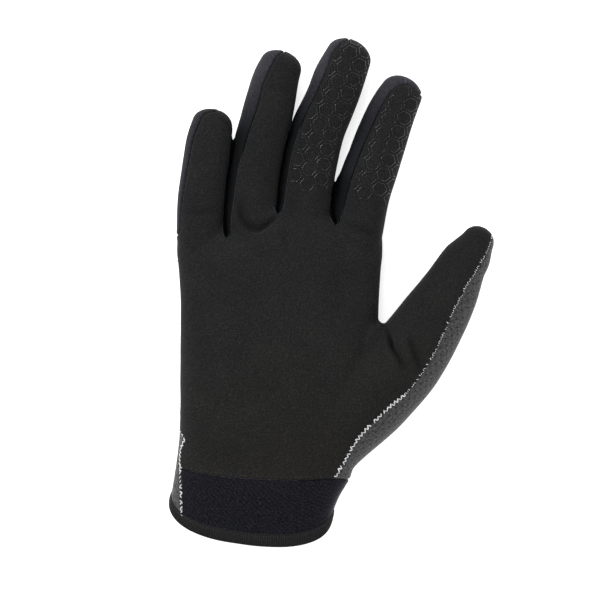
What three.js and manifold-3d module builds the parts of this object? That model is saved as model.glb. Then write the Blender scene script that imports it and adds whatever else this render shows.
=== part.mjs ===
// Slip-on riding glove for the right hand, lying on its back with the palm up.
// Millimetres. +Y points from the wrist to the fingertips, +X to the thumb side, +Z out of the palm.
// The origin is under the middle of the glove, on the surface that it rests on.
import * as THREE from 'three';
import { mergeVertices } from 'three/addons/utils/BufferGeometryUtils.js';
import Module from 'manifold-3d';

const manifoldLibrary = await Module();
manifoldLibrary.setup();

// Cloth and seams
const WALL = 1.4;
const SEAM_GAP = 0.3;
const BINDING_WIDTH = 5.4;
const BINDING_OUTSIDE = 0.5;
const BINDING_INSIDE = 0.4;

// Facets
const TRUNK_SIDES = 28;
const FINGER_SIDES = 16;
const THUMB_SIDES = 20;
const DOME_ANGLES = [32, 58, 80];
const SHARPEST_BEND = 0.2;
const OVERLAP = 0.1;
const MERGE_DISTANCE = 1e-4;

// Trunk: hand and wrist. left and right are its edges, bottom and top its lowest and highest points.
// What lies below the resting surface is cut flat there.
// roundness is the power of the oval: 2 is an ellipse, more is squarer.
const TRUNK = [
  { y: -136, left: -76.6, right: 0.0, bottom: -1.6, top: 35.0, roundness: 2.4 },
  { y: -112, left: -76.6, right: -1.0, bottom: -1.6, top: 35.0, roundness: 2.4 },
  { y: -98, left: -75.9, right: 2.4, bottom: -1.6, top: 35.0, roundness: 2.4 },
  { y: -86, left: -74.2, right: 8.0, bottom: -1.6, top: 34.5, roundness: 2.4 },
  { y: -72, left: -72.8, right: 12.0, bottom: -1.6, top: 34.0, roundness: 2.4 },
  { y: -55, left: -71.8, right: 16.0, bottom: -1.6, top: 33.0, roundness: 2.4 },
  { y: -38, left: -71.6, right: 19.0, bottom: -1.6, top: 31.5, roundness: 2.5 },
  { y: -22, left: -71.4, right: 21.6, bottom: -1.6, top: 30.0, roundness: 2.5 },
  { y: -6, left: -71.3, right: 22.2, bottom: -1.6, top: 28.5, roundness: 2.5 },
  { y: 10, left: -72.2, right: 23.2, bottom: -1.4, top: 27.0, roundness: 2.5 },
  { y: 22, left: -73.2, right: 24.2, bottom: -1.0, top: 25.0, roundness: 2.5 },
  { y: 30, left: -72.6, right: 23.6, bottom: -0.4, top: 20.5, roundness: 2.4 },
  { y: 37, left: -70.6, right: 21.0, bottom: 1.2, top: 14.5, roundness: 2.3 },
  { y: 43, left: -66.0, right: 16.0, bottom: 3.6, top: 9.6, roundness: 2.2 },
];
const TRUNK_WIDEST = 0.47;

// Fingers: centre of each section, half its width, and where the palm panel's two seams run.
// leftSeam and rightSeam are measured across the finger from its centre line.
const FINGERS = {
  little: [
    { x: -61.4, y: 8.0, half: 9.0 },
    { x: -62.3, y: 24.5, half: 10.8 },
    { x: -62.2, y: 34.4, half: 11.1, leftSeam: -9.2, rightSeam: 8.9 },
    { x: -61.7, y: 43.8, half: 11.1, leftSeam: -8.9, rightSeam: 8.7 },
    { x: -60.6, y: 53.3, half: 10.9, leftSeam: -8.4, rightSeam: 8.5 },
    { x: -59.4, y: 62.7, half: 10.8, leftSeam: -7.9, rightSeam: 8.4 },
    { x: -58.1, y: 72.2, half: 10.5, leftSeam: -7.2, rightSeam: 8.0 },
    { x: -56.4, y: 79.7, half: 9.6, leftSeam: -5.3, rightSeam: 6.6 },
  ],
  ring: [
    { x: -39.6, y: 10.0, half: 11.0 },
    { x: -39.2, y: 22.0, half: 11.8 },
    { x: -38.4, y: 34.4, half: 11.8, leftSeam: -8.9 },
    { x: -37.3, y: 46.2, half: 11.7, leftSeam: -8.4, rightSeam: 9.3 },
    { x: -35.9, y: 58.0, half: 11.6, leftSeam: -7.9, rightSeam: 9.2 },
    { x: -33.5, y: 72.2, half: 11.8, leftSeam: -6.4, rightSeam: 9.3 },
    { x: -30.1, y: 86.3, half: 11.8, leftSeam: -5.1, rightSeam: 9.2 },
    { x: -26.9, y: 99.6, half: 11.0, leftSeam: -4.6, rightSeam: 8.2 },
    { x: -24.0, y: 107.1, half: 10.1, leftSeam: -3.4, rightSeam: 6.4 },
  ],
  middle: [
    { x: -15.6, y: 10.0, half: 11.0 },
    { x: -14.6, y: 22.6, half: 12.0 },
    { x: -13.2, y: 38.1, half: 12.1, rightSeam: 9.6 },
    { x: -11.7, y: 50.9, half: 12.1, leftSeam: -9.3, rightSeam: 9.7 },
    { x: -9.7, y: 63.7, half: 12.3, leftSeam: -9.0, rightSeam: 9.8 },
    { x: -6.0, y: 78.3, half: 12.6, leftSeam: -8.0, rightSeam: 10.0 },
    { x: -0.5, y: 91.1, half: 12.5, leftSeam: -7.4, rightSeam: 9.8 },
    { x: 4.1, y: 102.8, half: 12.0, leftSeam: -6.9, rightSeam: 9.0 },
    { x: 8.0, y: 111.6, half: 10.9, leftSeam: -6.0, rightSeam: 6.6 },
  ],
  index: [
    { x: 8.4, y: 8.0, half: 10.6 },
    { x: 10.9, y: 22.6, half: 12.1 },
    { x: 13.4, y: 37.2, half: 12.2, leftSeam: -8.2 },
    { x: 16.1, y: 49.5, half: 12.4, leftSeam: -7.8 },
    { x: 20.0, y: 62.7, half: 12.6, leftSeam: -7.2 },
    { x: 25.4, y: 78.3, half: 11.9, leftSeam: -5.8 },
    { x: 29.8, y: 88.2, half: 11.0, leftSeam: -5.4 },
    { x: 33.0, y: 94.2, half: 10.1, leftSeam: -3.4 },
  ],
};
const FINGER_Z = 11.6;
const FINGER_ROUNDNESS = 2.15;
const FINGER_RISE = 0.86;
const FINGER_DROP = 0.98;
const FINGER_BEND_Y = 30;
const FINGER_SLOPE = 0.07;

// The palm panel's seam over each fingertip, from the last section: side is across the finger,
// along is towards the tip. The divider is where the strip on the left meets the strip on the right.
const FINGERTIPS = {
  little: {
    length: 7.2,
    seam: [{ side: -3.0, along: 3.2 }, { side: 0.4, along: 4.6 }, { side: 3.6, along: 4.0 }],
    divider: { side: 3.6, along: 4.0 },
  },
  ring: {
    length: 7.2,
    seam: [{ side: -2.0, along: 4.0 }, { side: 0.6, along: 5.0 }, { side: 4.0, along: 3.8 }],
    divider: { side: 0.6, along: 5.0 },
  },
  middle: {
    length: 8.0,
    seam: [{ side: -4.2, along: 4.2 }, { side: 0.0, along: 5.8 }, { side: 4.2, along: 4.0 }],
    divider: { side: -4.2, along: 4.2 },
  },
  index: {
    length: 8.0,
    seam: [{ side: -1.2, along: 3.0 }, { side: 2.6, along: 4.4 }, { side: 6.4, along: 3.4 }],
    exit: { side: 13.0, along: 2.2 },
  },
};

// How far the divider is carried past the tip, as a multiple of side and as a length
const DIVIDER_REACH = 2;

// Where the palm panel ends on the far side of the little finger
const LITTLE_OUTER_END = [{ x: -82.0, y: 25.0 }, { x: -74.6, y: 25.5 }];

// Where the palm panel ends between two fingers
const FINGER_FORKS = {
  ring: { x: -49.4, y: 25.9 },
  middle: { x: -25.0, y: 37.2 },
  index: { x: 2.1, y: 32.0 },
};

// Thumb: centre, half width, and the height of the palm side and back side from the centre
const THUMB = [
  { x: -12.8, y: -90.8, z: 15.0, half: 12.0, rise: 13.0, drop: 15.5 },
  { x: 0.9, y: -71.0, z: 15.0, half: 15.0, rise: 16.0, drop: 16.0 },
  { x: 16.5, y: -52.1, z: 15.0, half: 18.9, rise: 17.4, drop: 16.0 },
  { x: 32.8, y: -34.1, z: 15.0, half: 18.6, rise: 16.6, drop: 15.4 },
  { x: 44.4, y: -17.6, z: 15.2, half: 17.0, rise: 14.4, drop: 14.2 },
  { x: 54.6, y: -0.9, z: 16.0, half: 14.4, rise: 12.2, drop: 12.2 },
  { x: 61.2, y: 12.1, z: 17.2, half: 11.8, rise: 10.4, drop: 10.4 },
  { x: 67.5, y: 21.8, z: 18.4, half: 9.5, rise: 8.8, drop: 8.8 },
];
const THUMB_TIP_LENGTH = 8.8;
const THUMB_BEND_Y = -14;
const THUMB_SLOPE = 0.185;

// The cloth between palm and thumb, which rounds the corner there
const THUMB_WEB = [
  { x: 8.0, y: -34.0, z: 14.0, half: 9.0, rise: 11.0, drop: 10.0 },
  { x: 18.6, y: -22.4, z: 14.0, half: 8.0, rise: 10.0, drop: 9.0 },
];
const THUMB_WEB_TIP_LENGTH = 8.0;
const THUMB_WEB_SIDES = 12;

// Between the fingers the trunk's end bows forward in the middle.
const WEB_BOW = 9;
const WEB_BOW_MIDDLE_X = -20;
const WEB_BOW_HALF_WIDTH = 23;
const WEB_BOW_LEAST = -3;
const WEB_BOW_FROM_Y = 10;
const WEB_BOW_TO_Y = 22;

// Soft hollows of the palm side: middle, reach along x and y, and depth
const HOLLOWS = [
  { x: 9, y: 2, reachX: 13, reachY: 17, depth: 2.6 },
  { x: 27, y: -22, reachX: 7, reachY: 9, depth: 1.8 },
  { x: -40, y: 28, reachX: 12, reachY: 4, depth: 1.2 },
  { x: -33, y: -12, reachX: 14, reachY: 24, depth: 1.4 },
  { x: -34, y: -80, reachX: 30, reachY: 7, depth: 1.0 },
];
const HOLLOW_FLOOR_Z = 16;

// Side seam: the palm side and the back meet at this height, and it climbs along fingers and thumb.
const SIDE_SEAM_Z = 8;

// The back panel shows at the thumb side, from the thumb tip down to the wrist cuff.
const THUMB_SEAM = [
  { x: 79.4, y: 33.0 },
  { x: 75.8, y: 26.6 },
  { x: 72.9, y: 19.3 },
  { x: 68.0, y: 10.3 },
  { x: 62.9, y: 2.2 },
  { x: 55.7, y: -9.1 },
  { x: 53.0, y: -14.0 },
  { x: 49.6, y: -24.7 },
  { x: 44.9, y: -34.1 },
  { x: 35.9, y: -46.4 },
  { x: 25.0, y: -55.9 },
  { x: 12.7, y: -68.4 },
  { x: 4.7, y: -81.8 },
  { x: 1.2, y: -87.4 },
];
// The back panel also shows as a strip on the far side of the wrist.
const WRIST_SEAM = [
  { x: -84.0, y: -66.5 },
  { x: -75.0, y: -66.5 },
  { x: -68.2, y: -68.9 },
  { x: -71.4, y: -75.0 },
  { x: -71.6, y: -83.0 },
  { x: -71.0, y: -93.0 },
  { x: -70.8, y: -140.0 },
];
const WRIST_SEAM_INSIDE_X = -64;
const WRIST_SEAM_LOW_ENDS = 3;
const WRIST_SEAM_FLOOR_Z = 14;
// Upper edge of the wrist cuff
const CUFF_EDGE = [
  { x: -76.0, y: -80.8 },
  { x: -71.0, y: -82.3 },
  { x: -62.4, y: -84.7 },
  { x: -43.5, y: -87.0 },
  { x: -19.8, y: -88.0 },
  { x: 1.2, y: -87.4 },
  { x: 9.0, y: -88.2 },
  { x: 18.0, y: -90.0 },
];

// Hem: its line seen from the side, at the middle of the wrist, and how it slants across the wrist.
// The palm side reaches further down the arm than the back.
const HEM_PROFILE = [
  { z: -12.0, y: -101.4 },
  { z: 4.0, y: -101.8 },
  { z: 11.0, y: -102.6 },
  { z: 16.5, y: -104.4 },
  { z: 22.0, y: -108.4 },
  { z: 35.0, y: -118.9 },
  { z: 60.0, y: -139.0 },
];
const HEM_SLANT = -0.107;
const HEM_MIDDLE_X = -38.7;

// Outlines that carry the seams and the hem past the glove, and the box that holds all of it
const OUTSIDE = { left: -95, right: 95, hem: -145, tips: 140, floor: -12, top: 60 };
const RIGHTMOST_FINGER_X = 58;
const INDEX_SIDE = [
  { x: 26.0, y: 30.0 },
  { x: 52.0, y: 64.0 },
  { x: 60.0, y: 140.0 },
];

// The open gap between palm and thumb: its corner, the line beside the palm, and the line beside the thumb
const CROTCH_X = 24.8;
const BESIDE_THE_PALM = [
  { x: CROTCH_X, y: THUMB_BEND_Y },
  { x: 24.6, y: 0.0 },
  { x: 26.0, y: 30.0 },
];
const BESIDE_THE_THUMB = [
  { x: 44.0, y: 44.0 },
  { x: 34.0, y: 6.0 },
  { x: 27.4, y: -6.0 },
  { x: CROTCH_X, y: THUMB_BEND_Y },
];

// How far the middle of the finished outline lies from x = 0 in the tables above
const OFF_MIDDLE_X = 0.15;

// A point in each piece's wall, which names the pieces once the seams are cut
const PROBE_SIZE = 1;
const PROBES = {
  palm_panel: { x: -25, y: 0, z: 26, reach: 6 },
  back_panel: { x: -25, y: 0, z: 1, reach: 2 },
  wrist_cuff: { x: -35, y: -100, z: 34, reach: 5 },
  little_side_strip: { x: -70.3, y: 53.3, z: 16, reach: 3 },
  little_ring_strip: { x: -42.8, y: 72.2, z: 16, reach: 3 },
  ring_middle_strip: { x: -16.4, y: 78.3, z: 17, reach: 3 },
  middle_index_strip: { x: 16.2, y: 78.3, z: 17, reach: 3 },
};

const SUEDE = { color: 0x252422, roughness: 0.95, metalness: 0 };
const GREY_KNIT = { color: 0x57585c, roughness: 0.9, metalness: 0 };
const NAVY_STRETCH = { color: 0x1d2029, roughness: 0.75, metalness: 0 };
const CUFF_CLOTH = { color: 0x1b1c26, roughness: 0.85, metalness: 0 };
const RIBBED_TAPE = { color: 0x222220, roughness: 0.8, metalness: 0 };

// Solids from rings of points: every ring has the same count, and the two end rings are closed.
function skin(rings) {
  const count = rings[0].length;
  const positions = rings.flat().flatMap((point) => [point.x, point.y, point.z]);
  const indices = [];
  for (let ring = 0; ring + 1 < rings.length; ring += 1) {
    for (let corner = 0; corner < count; corner += 1) {
      const here = ring * count + corner;
      const next = ring * count + (corner + 1) % count;
      indices.push(here, here + count, next);
      indices.push(next, here + count, next + count);
    }
  }
  const last = (rings.length - 1) * count;
  for (let corner = 1; corner + 1 < count; corner += 1) {
    indices.push(0, corner, corner + 1);
    indices.push(last, last + corner + 1, last + corner);
  }
  const geometry = new THREE.BufferGeometry();
  geometry.setAttribute('position', new THREE.Float32BufferAttribute(positions, 3));
  geometry.setIndex(indices);
  return solidOf(geometry);
}

function solidOf(geometry) {
  geometry.deleteAttribute('normal');
  geometry.deleteAttribute('uv');
  const merged = mergeVertices(geometry, MERGE_DISTANCE);
  const mesh = new manifoldLibrary.Mesh({
    numProp: 3,
    vertProperties: new Float32Array(merged.attributes.position.array),
    triVerts: new Uint32Array(merged.index.array),
  });
  return new manifoldLibrary.Manifold(mesh);
}

function geometryOf(solid) {
  const mesh = solid.getMesh();
  const geometry = new THREE.BufferGeometry();
  geometry.setAttribute('position', new THREE.Float32BufferAttribute(mesh.vertProperties, 3));
  geometry.setIndex(Array.from(mesh.triVerts));
  geometry.computeVertexNormals();
  return geometry;
}

function block(left, right, back, front, bottom, top) {
  const box = new THREE.BoxGeometry(right - left, front - back, top - bottom);
  box.translate((left + right) / 2, (back + front) / 2, (bottom + top) / 2);
  return solidOf(box);
}

// A flat outline, drawn in x and y and carried from one height to another
function slab(outline, bottom, top) {
  const shape = new THREE.Shape(outline.map((point) => new THREE.Vector2(point.x, point.y)));
  const geometry = new THREE.ExtrudeGeometry(shape, { depth: top - bottom, bevelEnabled: false });
  geometry.translate(0, 0, bottom);
  return geometry;
}

// Unit vector in plan from one point to another
function direction(from, to) {
  const length = Math.hypot(to.x - from.x, to.y - from.y);
  return { x: (to.x - from.x) / length, y: (to.y - from.y) / length };
}

// Unit vector along a row of centres
function heading(rows, index) {
  return direction(rows[Math.max(0, index - 1)], rows[Math.min(rows.length - 1, index + 1)]);
}

// A point beside a section: side to the right of the way along, along towards the tip
function beside(rows, index, side, along = 0) {
  const way = heading(rows, index);
  const row = rows[index];
  return {
    x: row.x + way.y * side + way.x * along,
    y: row.y - way.x * side + way.y * along,
  };
}

function ovalRing(centre, way, half, rise, drop, roundness, sides) {
  const ring = [];
  for (let step = 0; step < sides; step += 1) {
    const angle = 2 * Math.PI * step / sides;
    const across = Math.cos(angle);
    const up = Math.sin(angle);
    const side = half * Math.sign(across) * Math.abs(across) ** (2 / roundness);
    const height = (up > 0 ? rise : drop) * Math.sign(up) * Math.abs(up) ** (2 / roundness);
    ring.push({
      x: centre.x + way.y * side,
      y: centre.y - way.x * side,
      z: centre.z + height,
    });
  }
  return ring;
}

function hollowDepth(point) {
  let depth = 0;
  for (const hollow of HOLLOWS) {
    const overX = (point.x - hollow.x) / hollow.reachX;
    const overY = (point.y - hollow.y) / hollow.reachY;
    depth += hollow.depth * Math.exp(-overX * overX - overY * overY);
  }
  const share = THREE.MathUtils.clamp((point.z - HOLLOW_FLOOR_Z) / HOLLOW_FLOOR_Z, 0, 1);
  return depth * Math.sqrt(share);
}

function sunk(rings) {
  return rings.map((ring) => ring.map((point) => ({ ...point, z: point.z - hollowDepth(point) })));
}

// A finger-like tube with a domed tip. inset draws every wall inwards.
function fingerTube(rows, tipLength, sides, inset) {
  const rings = rows.map((row, index) => ovalRing(
    row,
    heading(rows, index),
    row.half - inset,
    row.rise - inset,
    row.drop - inset,
    row.roundness,
    sides,
  ));
  const lastIndex = rows.length - 1;
  const last = rows[lastIndex];
  for (const degrees of DOME_ANGLES) {
    const angle = THREE.MathUtils.degToRad(degrees);
    const forward = (tipLength - inset) * Math.sin(angle);
    const share = Math.cos(angle);
    const centre = { ...beside(rows, lastIndex, 0, forward), z: last.z + forward * last.climb };
    rings.push(ovalRing(
      centre,
      heading(rows, lastIndex),
      (last.half - inset) * share,
      (last.rise - inset) * share,
      (last.drop - inset) * share,
      last.roundness,
      sides,
    ));
  }
  return skin(sunk(rings));
}

function fingerRows(name) {
  return FINGERS[name].map((row) => ({
    ...row,
    z: FINGER_Z + FINGER_SLOPE * Math.max(0, row.y - FINGER_BEND_Y),
    rise: row.half * FINGER_RISE,
    drop: row.half * FINGER_DROP,
    roundness: FINGER_ROUNDNESS,
    climb: FINGER_SLOPE,
  }));
}

const THUMB_ROWS = THUMB.map((row) => ({ ...row, roundness: FINGER_ROUNDNESS, climb: THUMB_SLOPE }));
const THUMB_WEB_ROWS = THUMB_WEB.map((row) => ({ ...row, roundness: FINGER_ROUNDNESS, climb: 0 }));

function bowed(point) {
  const over = (point.x - WEB_BOW_MIDDLE_X) / WEB_BOW_HALF_WIDTH;
  const bow = Math.max(WEB_BOW_LEAST, WEB_BOW * (1 - over * over));
  const share = (point.y - WEB_BOW_FROM_Y) / (WEB_BOW_TO_Y - WEB_BOW_FROM_Y);
  return { ...point, y: point.y + bow * THREE.MathUtils.clamp(share, 0, 1) };
}

function trunkTube(inset) {
  const straight = { x: 0, y: 1 };
  const rings = TRUNK.map((row, index) => {
    const shorten = index === TRUNK.length - 1 ? inset : 0;
    const middleZ = row.bottom + (row.top - row.bottom) * TRUNK_WIDEST;
    const centre = { x: (row.left + row.right) / 2, y: row.y - shorten, z: middleZ };
    const half = (row.right - row.left) / 2 - inset;
    const rise = row.top - middleZ - inset;
    const drop = middleZ - row.bottom - inset;
    return ovalRing(centre, straight, half, rise, drop, row.roundness, TRUNK_SIDES);
  });
  return skin(sunk(rings.map((ring) => ring.map(bowed))));
}

// The whole hand shape, drawn inwards by inset and flattened where it rests
function handShape(inset) {
  let hand = trunkTube(inset);
  for (const name of Object.keys(FINGERS)) {
    hand = hand.add(fingerTube(fingerRows(name), FINGERTIPS[name].length, FINGER_SIDES, inset));
  }
  hand = hand.add(fingerTube(THUMB_ROWS, THUMB_TIP_LENGTH, THUMB_SIDES, inset));
  hand = hand.add(fingerTube(THUMB_WEB_ROWS, THUMB_WEB_TIP_LENGTH, THUMB_WEB_SIDES, inset));
  const floor = Math.max(0, inset);
  const { left, right, hem, tips, top } = OUTSIDE;
  return hand.intersect(block(left, right, hem, tips, floor, top));
}

// Height of the side seam under a point
function sideSeamZ(point) {
  if (point.y > FINGER_BEND_Y && point.x < RIGHTMOST_FINGER_X) {
    return SIDE_SEAM_Z + FINGER_SLOPE * (point.y - FINGER_BEND_Y);
  }
  if (point.y > THUMB_BEND_Y && point.x > CROTCH_X) {
    return SIDE_SEAM_Z + THUMB_SLOPE * (point.y - THUMB_BEND_Y);
  }
  return SIDE_SEAM_Z;
}

// An upright cut along a line of points, each with the height that the cut goes down to.
// At each point the cut's two faces meet on the line that halves the bend.
function uprightCut(line) {
  const rings = line.map((point, index) => {
    const next = line[index + 1];
    const before = line[index - 1];
    const comes = before ? direction(before, point) : direction(point, next);
    const goes = next ? direction(point, next) : comes;
    const way = direction({ x: 0, y: 0 }, { x: comes.x + goes.x, y: comes.y + goes.y });
    const half = SEAM_GAP / 2 / Math.max(SHARPEST_BEND, comes.x * way.x + comes.y * way.y);
    const low = point.floor;
    return [
      { x: point.x - way.y * half, y: point.y + way.x * half, z: low },
      { x: point.x + way.y * half, y: point.y - way.x * half, z: low },
      { x: point.x + way.y * half, y: point.y - way.x * half, z: OUTSIDE.top },
      { x: point.x - way.y * half, y: point.y + way.x * half, z: OUTSIDE.top },
    ];
  });
  return skin(rings);
}

function downToSideSeam(point) {
  return { ...point, floor: sideSeamZ(point) - OVERLAP };
}

function wristSeamPoint(point, index) {
  return index < WRIST_SEAM_LOW_ENDS ? downToSideSeam(point) : { ...point, floor: WRIST_SEAM_FLOOR_Z };
}

// A level cut inside an outline, which climbs along the fingers or the thumb
function levelCut(outline, bendY, slope) {
  const geometry = slab(outline, SIDE_SEAM_Z - SEAM_GAP / 2, SIDE_SEAM_Z + SEAM_GAP / 2);
  const position = geometry.attributes.position;
  for (let index = 0; index < position.count; index += 1) {
    const climb = slope * (position.getY(index) - bendY);
    position.setZ(index, position.getZ(index) + climb);
  }
  return solidOf(geometry);
}

function sideSeamCuts() {
  const { left, right, hem, tips } = OUTSIDE;
  const thumbSeamToBend = THUMB_SEAM.filter((point) => point.y <= THUMB_BEND_Y).reverse();
  const thumbSeamToTip = THUMB_SEAM.filter((point) => point.y >= THUMB_BEND_Y).reverse();
  const cuffRight = CUFF_EDGE.filter((point) => point.x > THUMB_SEAM[THUMB_SEAM.length - 1].x);
  const palm = [
    { x: left, y: FINGER_BEND_Y },
    { x: left, y: WRIST_SEAM[0].y },
    WRIST_SEAM[1],
    WRIST_SEAM[2],
    { x: WRIST_SEAM_INSIDE_X, y: WRIST_SEAM[2].y },
    { x: WRIST_SEAM_INSIDE_X, y: hem },
    { x: cuffRight[cuffRight.length - 1].x, y: hem },
    ...[...cuffRight].reverse(),
    ...thumbSeamToBend,
    ...BESIDE_THE_PALM,
  ];
  const fingers = [
    ...INDEX_SIDE,
    { x: left, y: tips },
    { x: left, y: FINGER_BEND_Y },
  ];
  const thumb = [
    ...thumbSeamToTip,
    { x: THUMB_SEAM[0].x, y: BESIDE_THE_THUMB[0].y },
    ...BESIDE_THE_THUMB,
  ];
  return [
    levelCut(palm, 0, 0),
    levelCut(fingers, FINGER_BEND_Y, FINGER_SLOPE),
    levelCut(thumb, THUMB_BEND_Y, THUMB_SLOPE),
  ];
}

// The palm panel's edge round all four fingers, from the far side of the little finger to the index
function fingerSeamCuts() {
  const line = LITTLE_OUTER_END.map(downToSideSeam);
  const cuts = [];
  for (const name of Object.keys(FINGERS)) {
    const rows = fingerRows(name);
    const last = rows.length - 1;
    const tip = FINGERTIPS[name];
    const atMiddle = (row, point) => ({ ...point, floor: row.z - OVERLAP });
    if (FINGER_FORKS[name]) {
      line.push(downToSideSeam(FINGER_FORKS[name]));
    }
    const firstLeft = rows.findIndex((row) => row.leftSeam);
    const firstRight = rows.findIndex((row) => row.rightSeam);
    for (let index = firstLeft; index <= last; index += 1) {
      const point = beside(rows, index, rows[index].leftSeam);
      line.push(index === firstLeft ? downToSideSeam(point) : atMiddle(rows[index], point));
    }
    for (const point of tip.seam) {
      line.push(atMiddle(rows[last], beside(rows, last, point.side, point.along)));
    }
    if (tip.exit) {
      const end = line.pop();
      line.push(downToSideSeam(end));
      line.push(downToSideSeam(beside(rows, last, tip.exit.side, tip.exit.along)));
    }
    if (tip.divider) {
      const { side, along } = tip.divider;
      const outwards = { side: side * DIVIDER_REACH, along: tip.length + DIVIDER_REACH };
      cuts.push(uprightCut([
        downToSideSeam(beside(rows, last, side, along)),
        downToSideSeam(beside(rows, last, outwards.side, outwards.along)),
      ]));
    }
    for (let index = last; firstRight >= 0 && index >= firstRight; index -= 1) {
      const point = beside(rows, index, rows[index].rightSeam);
      line.push(index === firstRight ? downToSideSeam(point) : atMiddle(rows[index], point));
    }
  }
  cuts.push(uprightCut(line));
  return cuts;
}

// Everything on the arm's side of the hem, moved towards the fingers by shift
function armSide(shift) {
  const { left, right, hem, floor, top } = OUTSIDE;
  const outline = [{ y: hem, z: floor }, ...HEM_PROFILE, { y: hem, z: top }];
  const rings = [right, left].map((x) => outline.map((point) => {
    const slant = point.y === hem ? 0 : shift + HEM_SLANT * (x - HEM_MIDDLE_X);
    return { x, y: point.y + slant, z: point.z };
  }));
  return skin(rings);
}

function pieceAt(pieces, probe) {
  const half = PROBE_SIZE / 2;
  const { x, y, z, reach } = probe;
  const pin = block(x - half, x + half, y - half, y + half, z - reach, z + reach);
  return pieces.find((piece) => piece.intersect(pin).volume() > 0);
}

function meshOf(name, solid, look) {
  const mesh = new THREE.Mesh(geometryOf(solid), new THREE.MeshStandardMaterial(look));
  mesh.name = name;
  return mesh;
}

const cloth = handShape(0).subtract(handShape(WALL)).subtract(armSide(BINDING_WIDTH + SEAM_GAP));
const cuts = [
  ...sideSeamCuts(),
  ...fingerSeamCuts(),
  uprightCut(THUMB_SEAM.map(downToSideSeam)),
  uprightCut(WRIST_SEAM.map(wristSeamPoint)),
  uprightCut(CUFF_EDGE.map(downToSideSeam)),
];
let cut = cloth;
for (const tool of cuts) {
  cut = cut.subtract(tool);
}
const pieces = cut.decompose();

const tape = handShape(-BINDING_OUTSIDE)
  .subtract(handShape(WALL + BINDING_INSIDE))
  .intersect(armSide(BINDING_WIDTH))
  .subtract(armSide(0));

const LOOKS = {
  palm_panel: SUEDE,
  back_panel: GREY_KNIT,
  wrist_cuff: CUFF_CLOTH,
  little_side_strip: NAVY_STRETCH,
  little_ring_strip: NAVY_STRETCH,
  ring_middle_strip: NAVY_STRETCH,
  middle_index_strip: NAVY_STRETCH,
};

const glove = new THREE.Group();
glove.position.x = -OFF_MIDDLE_X;
for (const [name, look] of Object.entries(LOOKS)) {
  glove.add(meshOf(name, pieceAt(pieces, PROBES[name]), look));
}
glove.add(meshOf('hem_binding', tape, RIBBED_TAPE));

export default glove;
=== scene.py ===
import math

import bmesh
import bpy
import numpy as np
from mathutils import Matrix, Vector, noise
from mathutils.bvhtree import BVHTree
from mathutils.kdtree import KDTree


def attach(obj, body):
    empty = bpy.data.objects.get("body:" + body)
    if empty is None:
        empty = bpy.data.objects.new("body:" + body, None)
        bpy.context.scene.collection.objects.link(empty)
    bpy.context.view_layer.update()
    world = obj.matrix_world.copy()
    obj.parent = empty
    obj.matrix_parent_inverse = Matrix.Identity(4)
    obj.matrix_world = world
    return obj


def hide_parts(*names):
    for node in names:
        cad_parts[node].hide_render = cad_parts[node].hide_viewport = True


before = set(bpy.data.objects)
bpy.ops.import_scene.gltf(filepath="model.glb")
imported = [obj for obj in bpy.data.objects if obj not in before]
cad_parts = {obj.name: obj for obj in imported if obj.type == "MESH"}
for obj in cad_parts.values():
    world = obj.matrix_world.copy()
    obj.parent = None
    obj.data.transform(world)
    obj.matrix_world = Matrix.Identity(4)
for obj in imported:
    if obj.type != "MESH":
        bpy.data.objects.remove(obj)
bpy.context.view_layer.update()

# Palm panel
# One piece of synthetic suede covers the palm, the fronts of the fingers and the front of the thumb.
# The whole hand is shaped here first: tubes for hand, fingers and thumb are melted into one skin,
# which is then cut along the seams into the panels. Sizes in the tables are in millimetres.
MM = 0.001
OFF_MIDDLE_X = 0.15

# y, left, right, bottom, top, roundness
TRUNK = [
    (-136, -76.6, 0.0, -1.6, 35.0, 2.4),
    (-112, -76.6, -1.0, -1.6, 35.0, 2.4),
    (-98, -75.9, 2.8, -1.6, 35.0, 2.4),
    (-86, -74.2, 9.2, -1.6, 34.5, 2.4),
    (-72, -72.2, 12.0, -1.6, 34.0, 2.4),
    (-55, -71.4, 16.0, -1.6, 33.0, 2.4),
    (-38, -71.6, 19.0, -1.6, 31.5, 2.5),
    (-22, -71.4, 21.6, -1.6, 30.0, 2.5),
    (-6, -71.3, 22.2, -1.6, 28.5, 2.5),
    (10, -72.2, 23.2, -1.4, 27.0, 2.5),
    (22, -73.2, 24.2, -1.0, 25.0, 2.5),
    (30, -72.6, 23.6, -0.4, 20.5, 2.4),
    (37, -70.6, 21.0, 1.2, 14.5, 2.3),
    (43, -66.0, 16.0, 3.6, 9.6, 2.2),
]
TRUNK_WIDEST = 0.47

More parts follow.
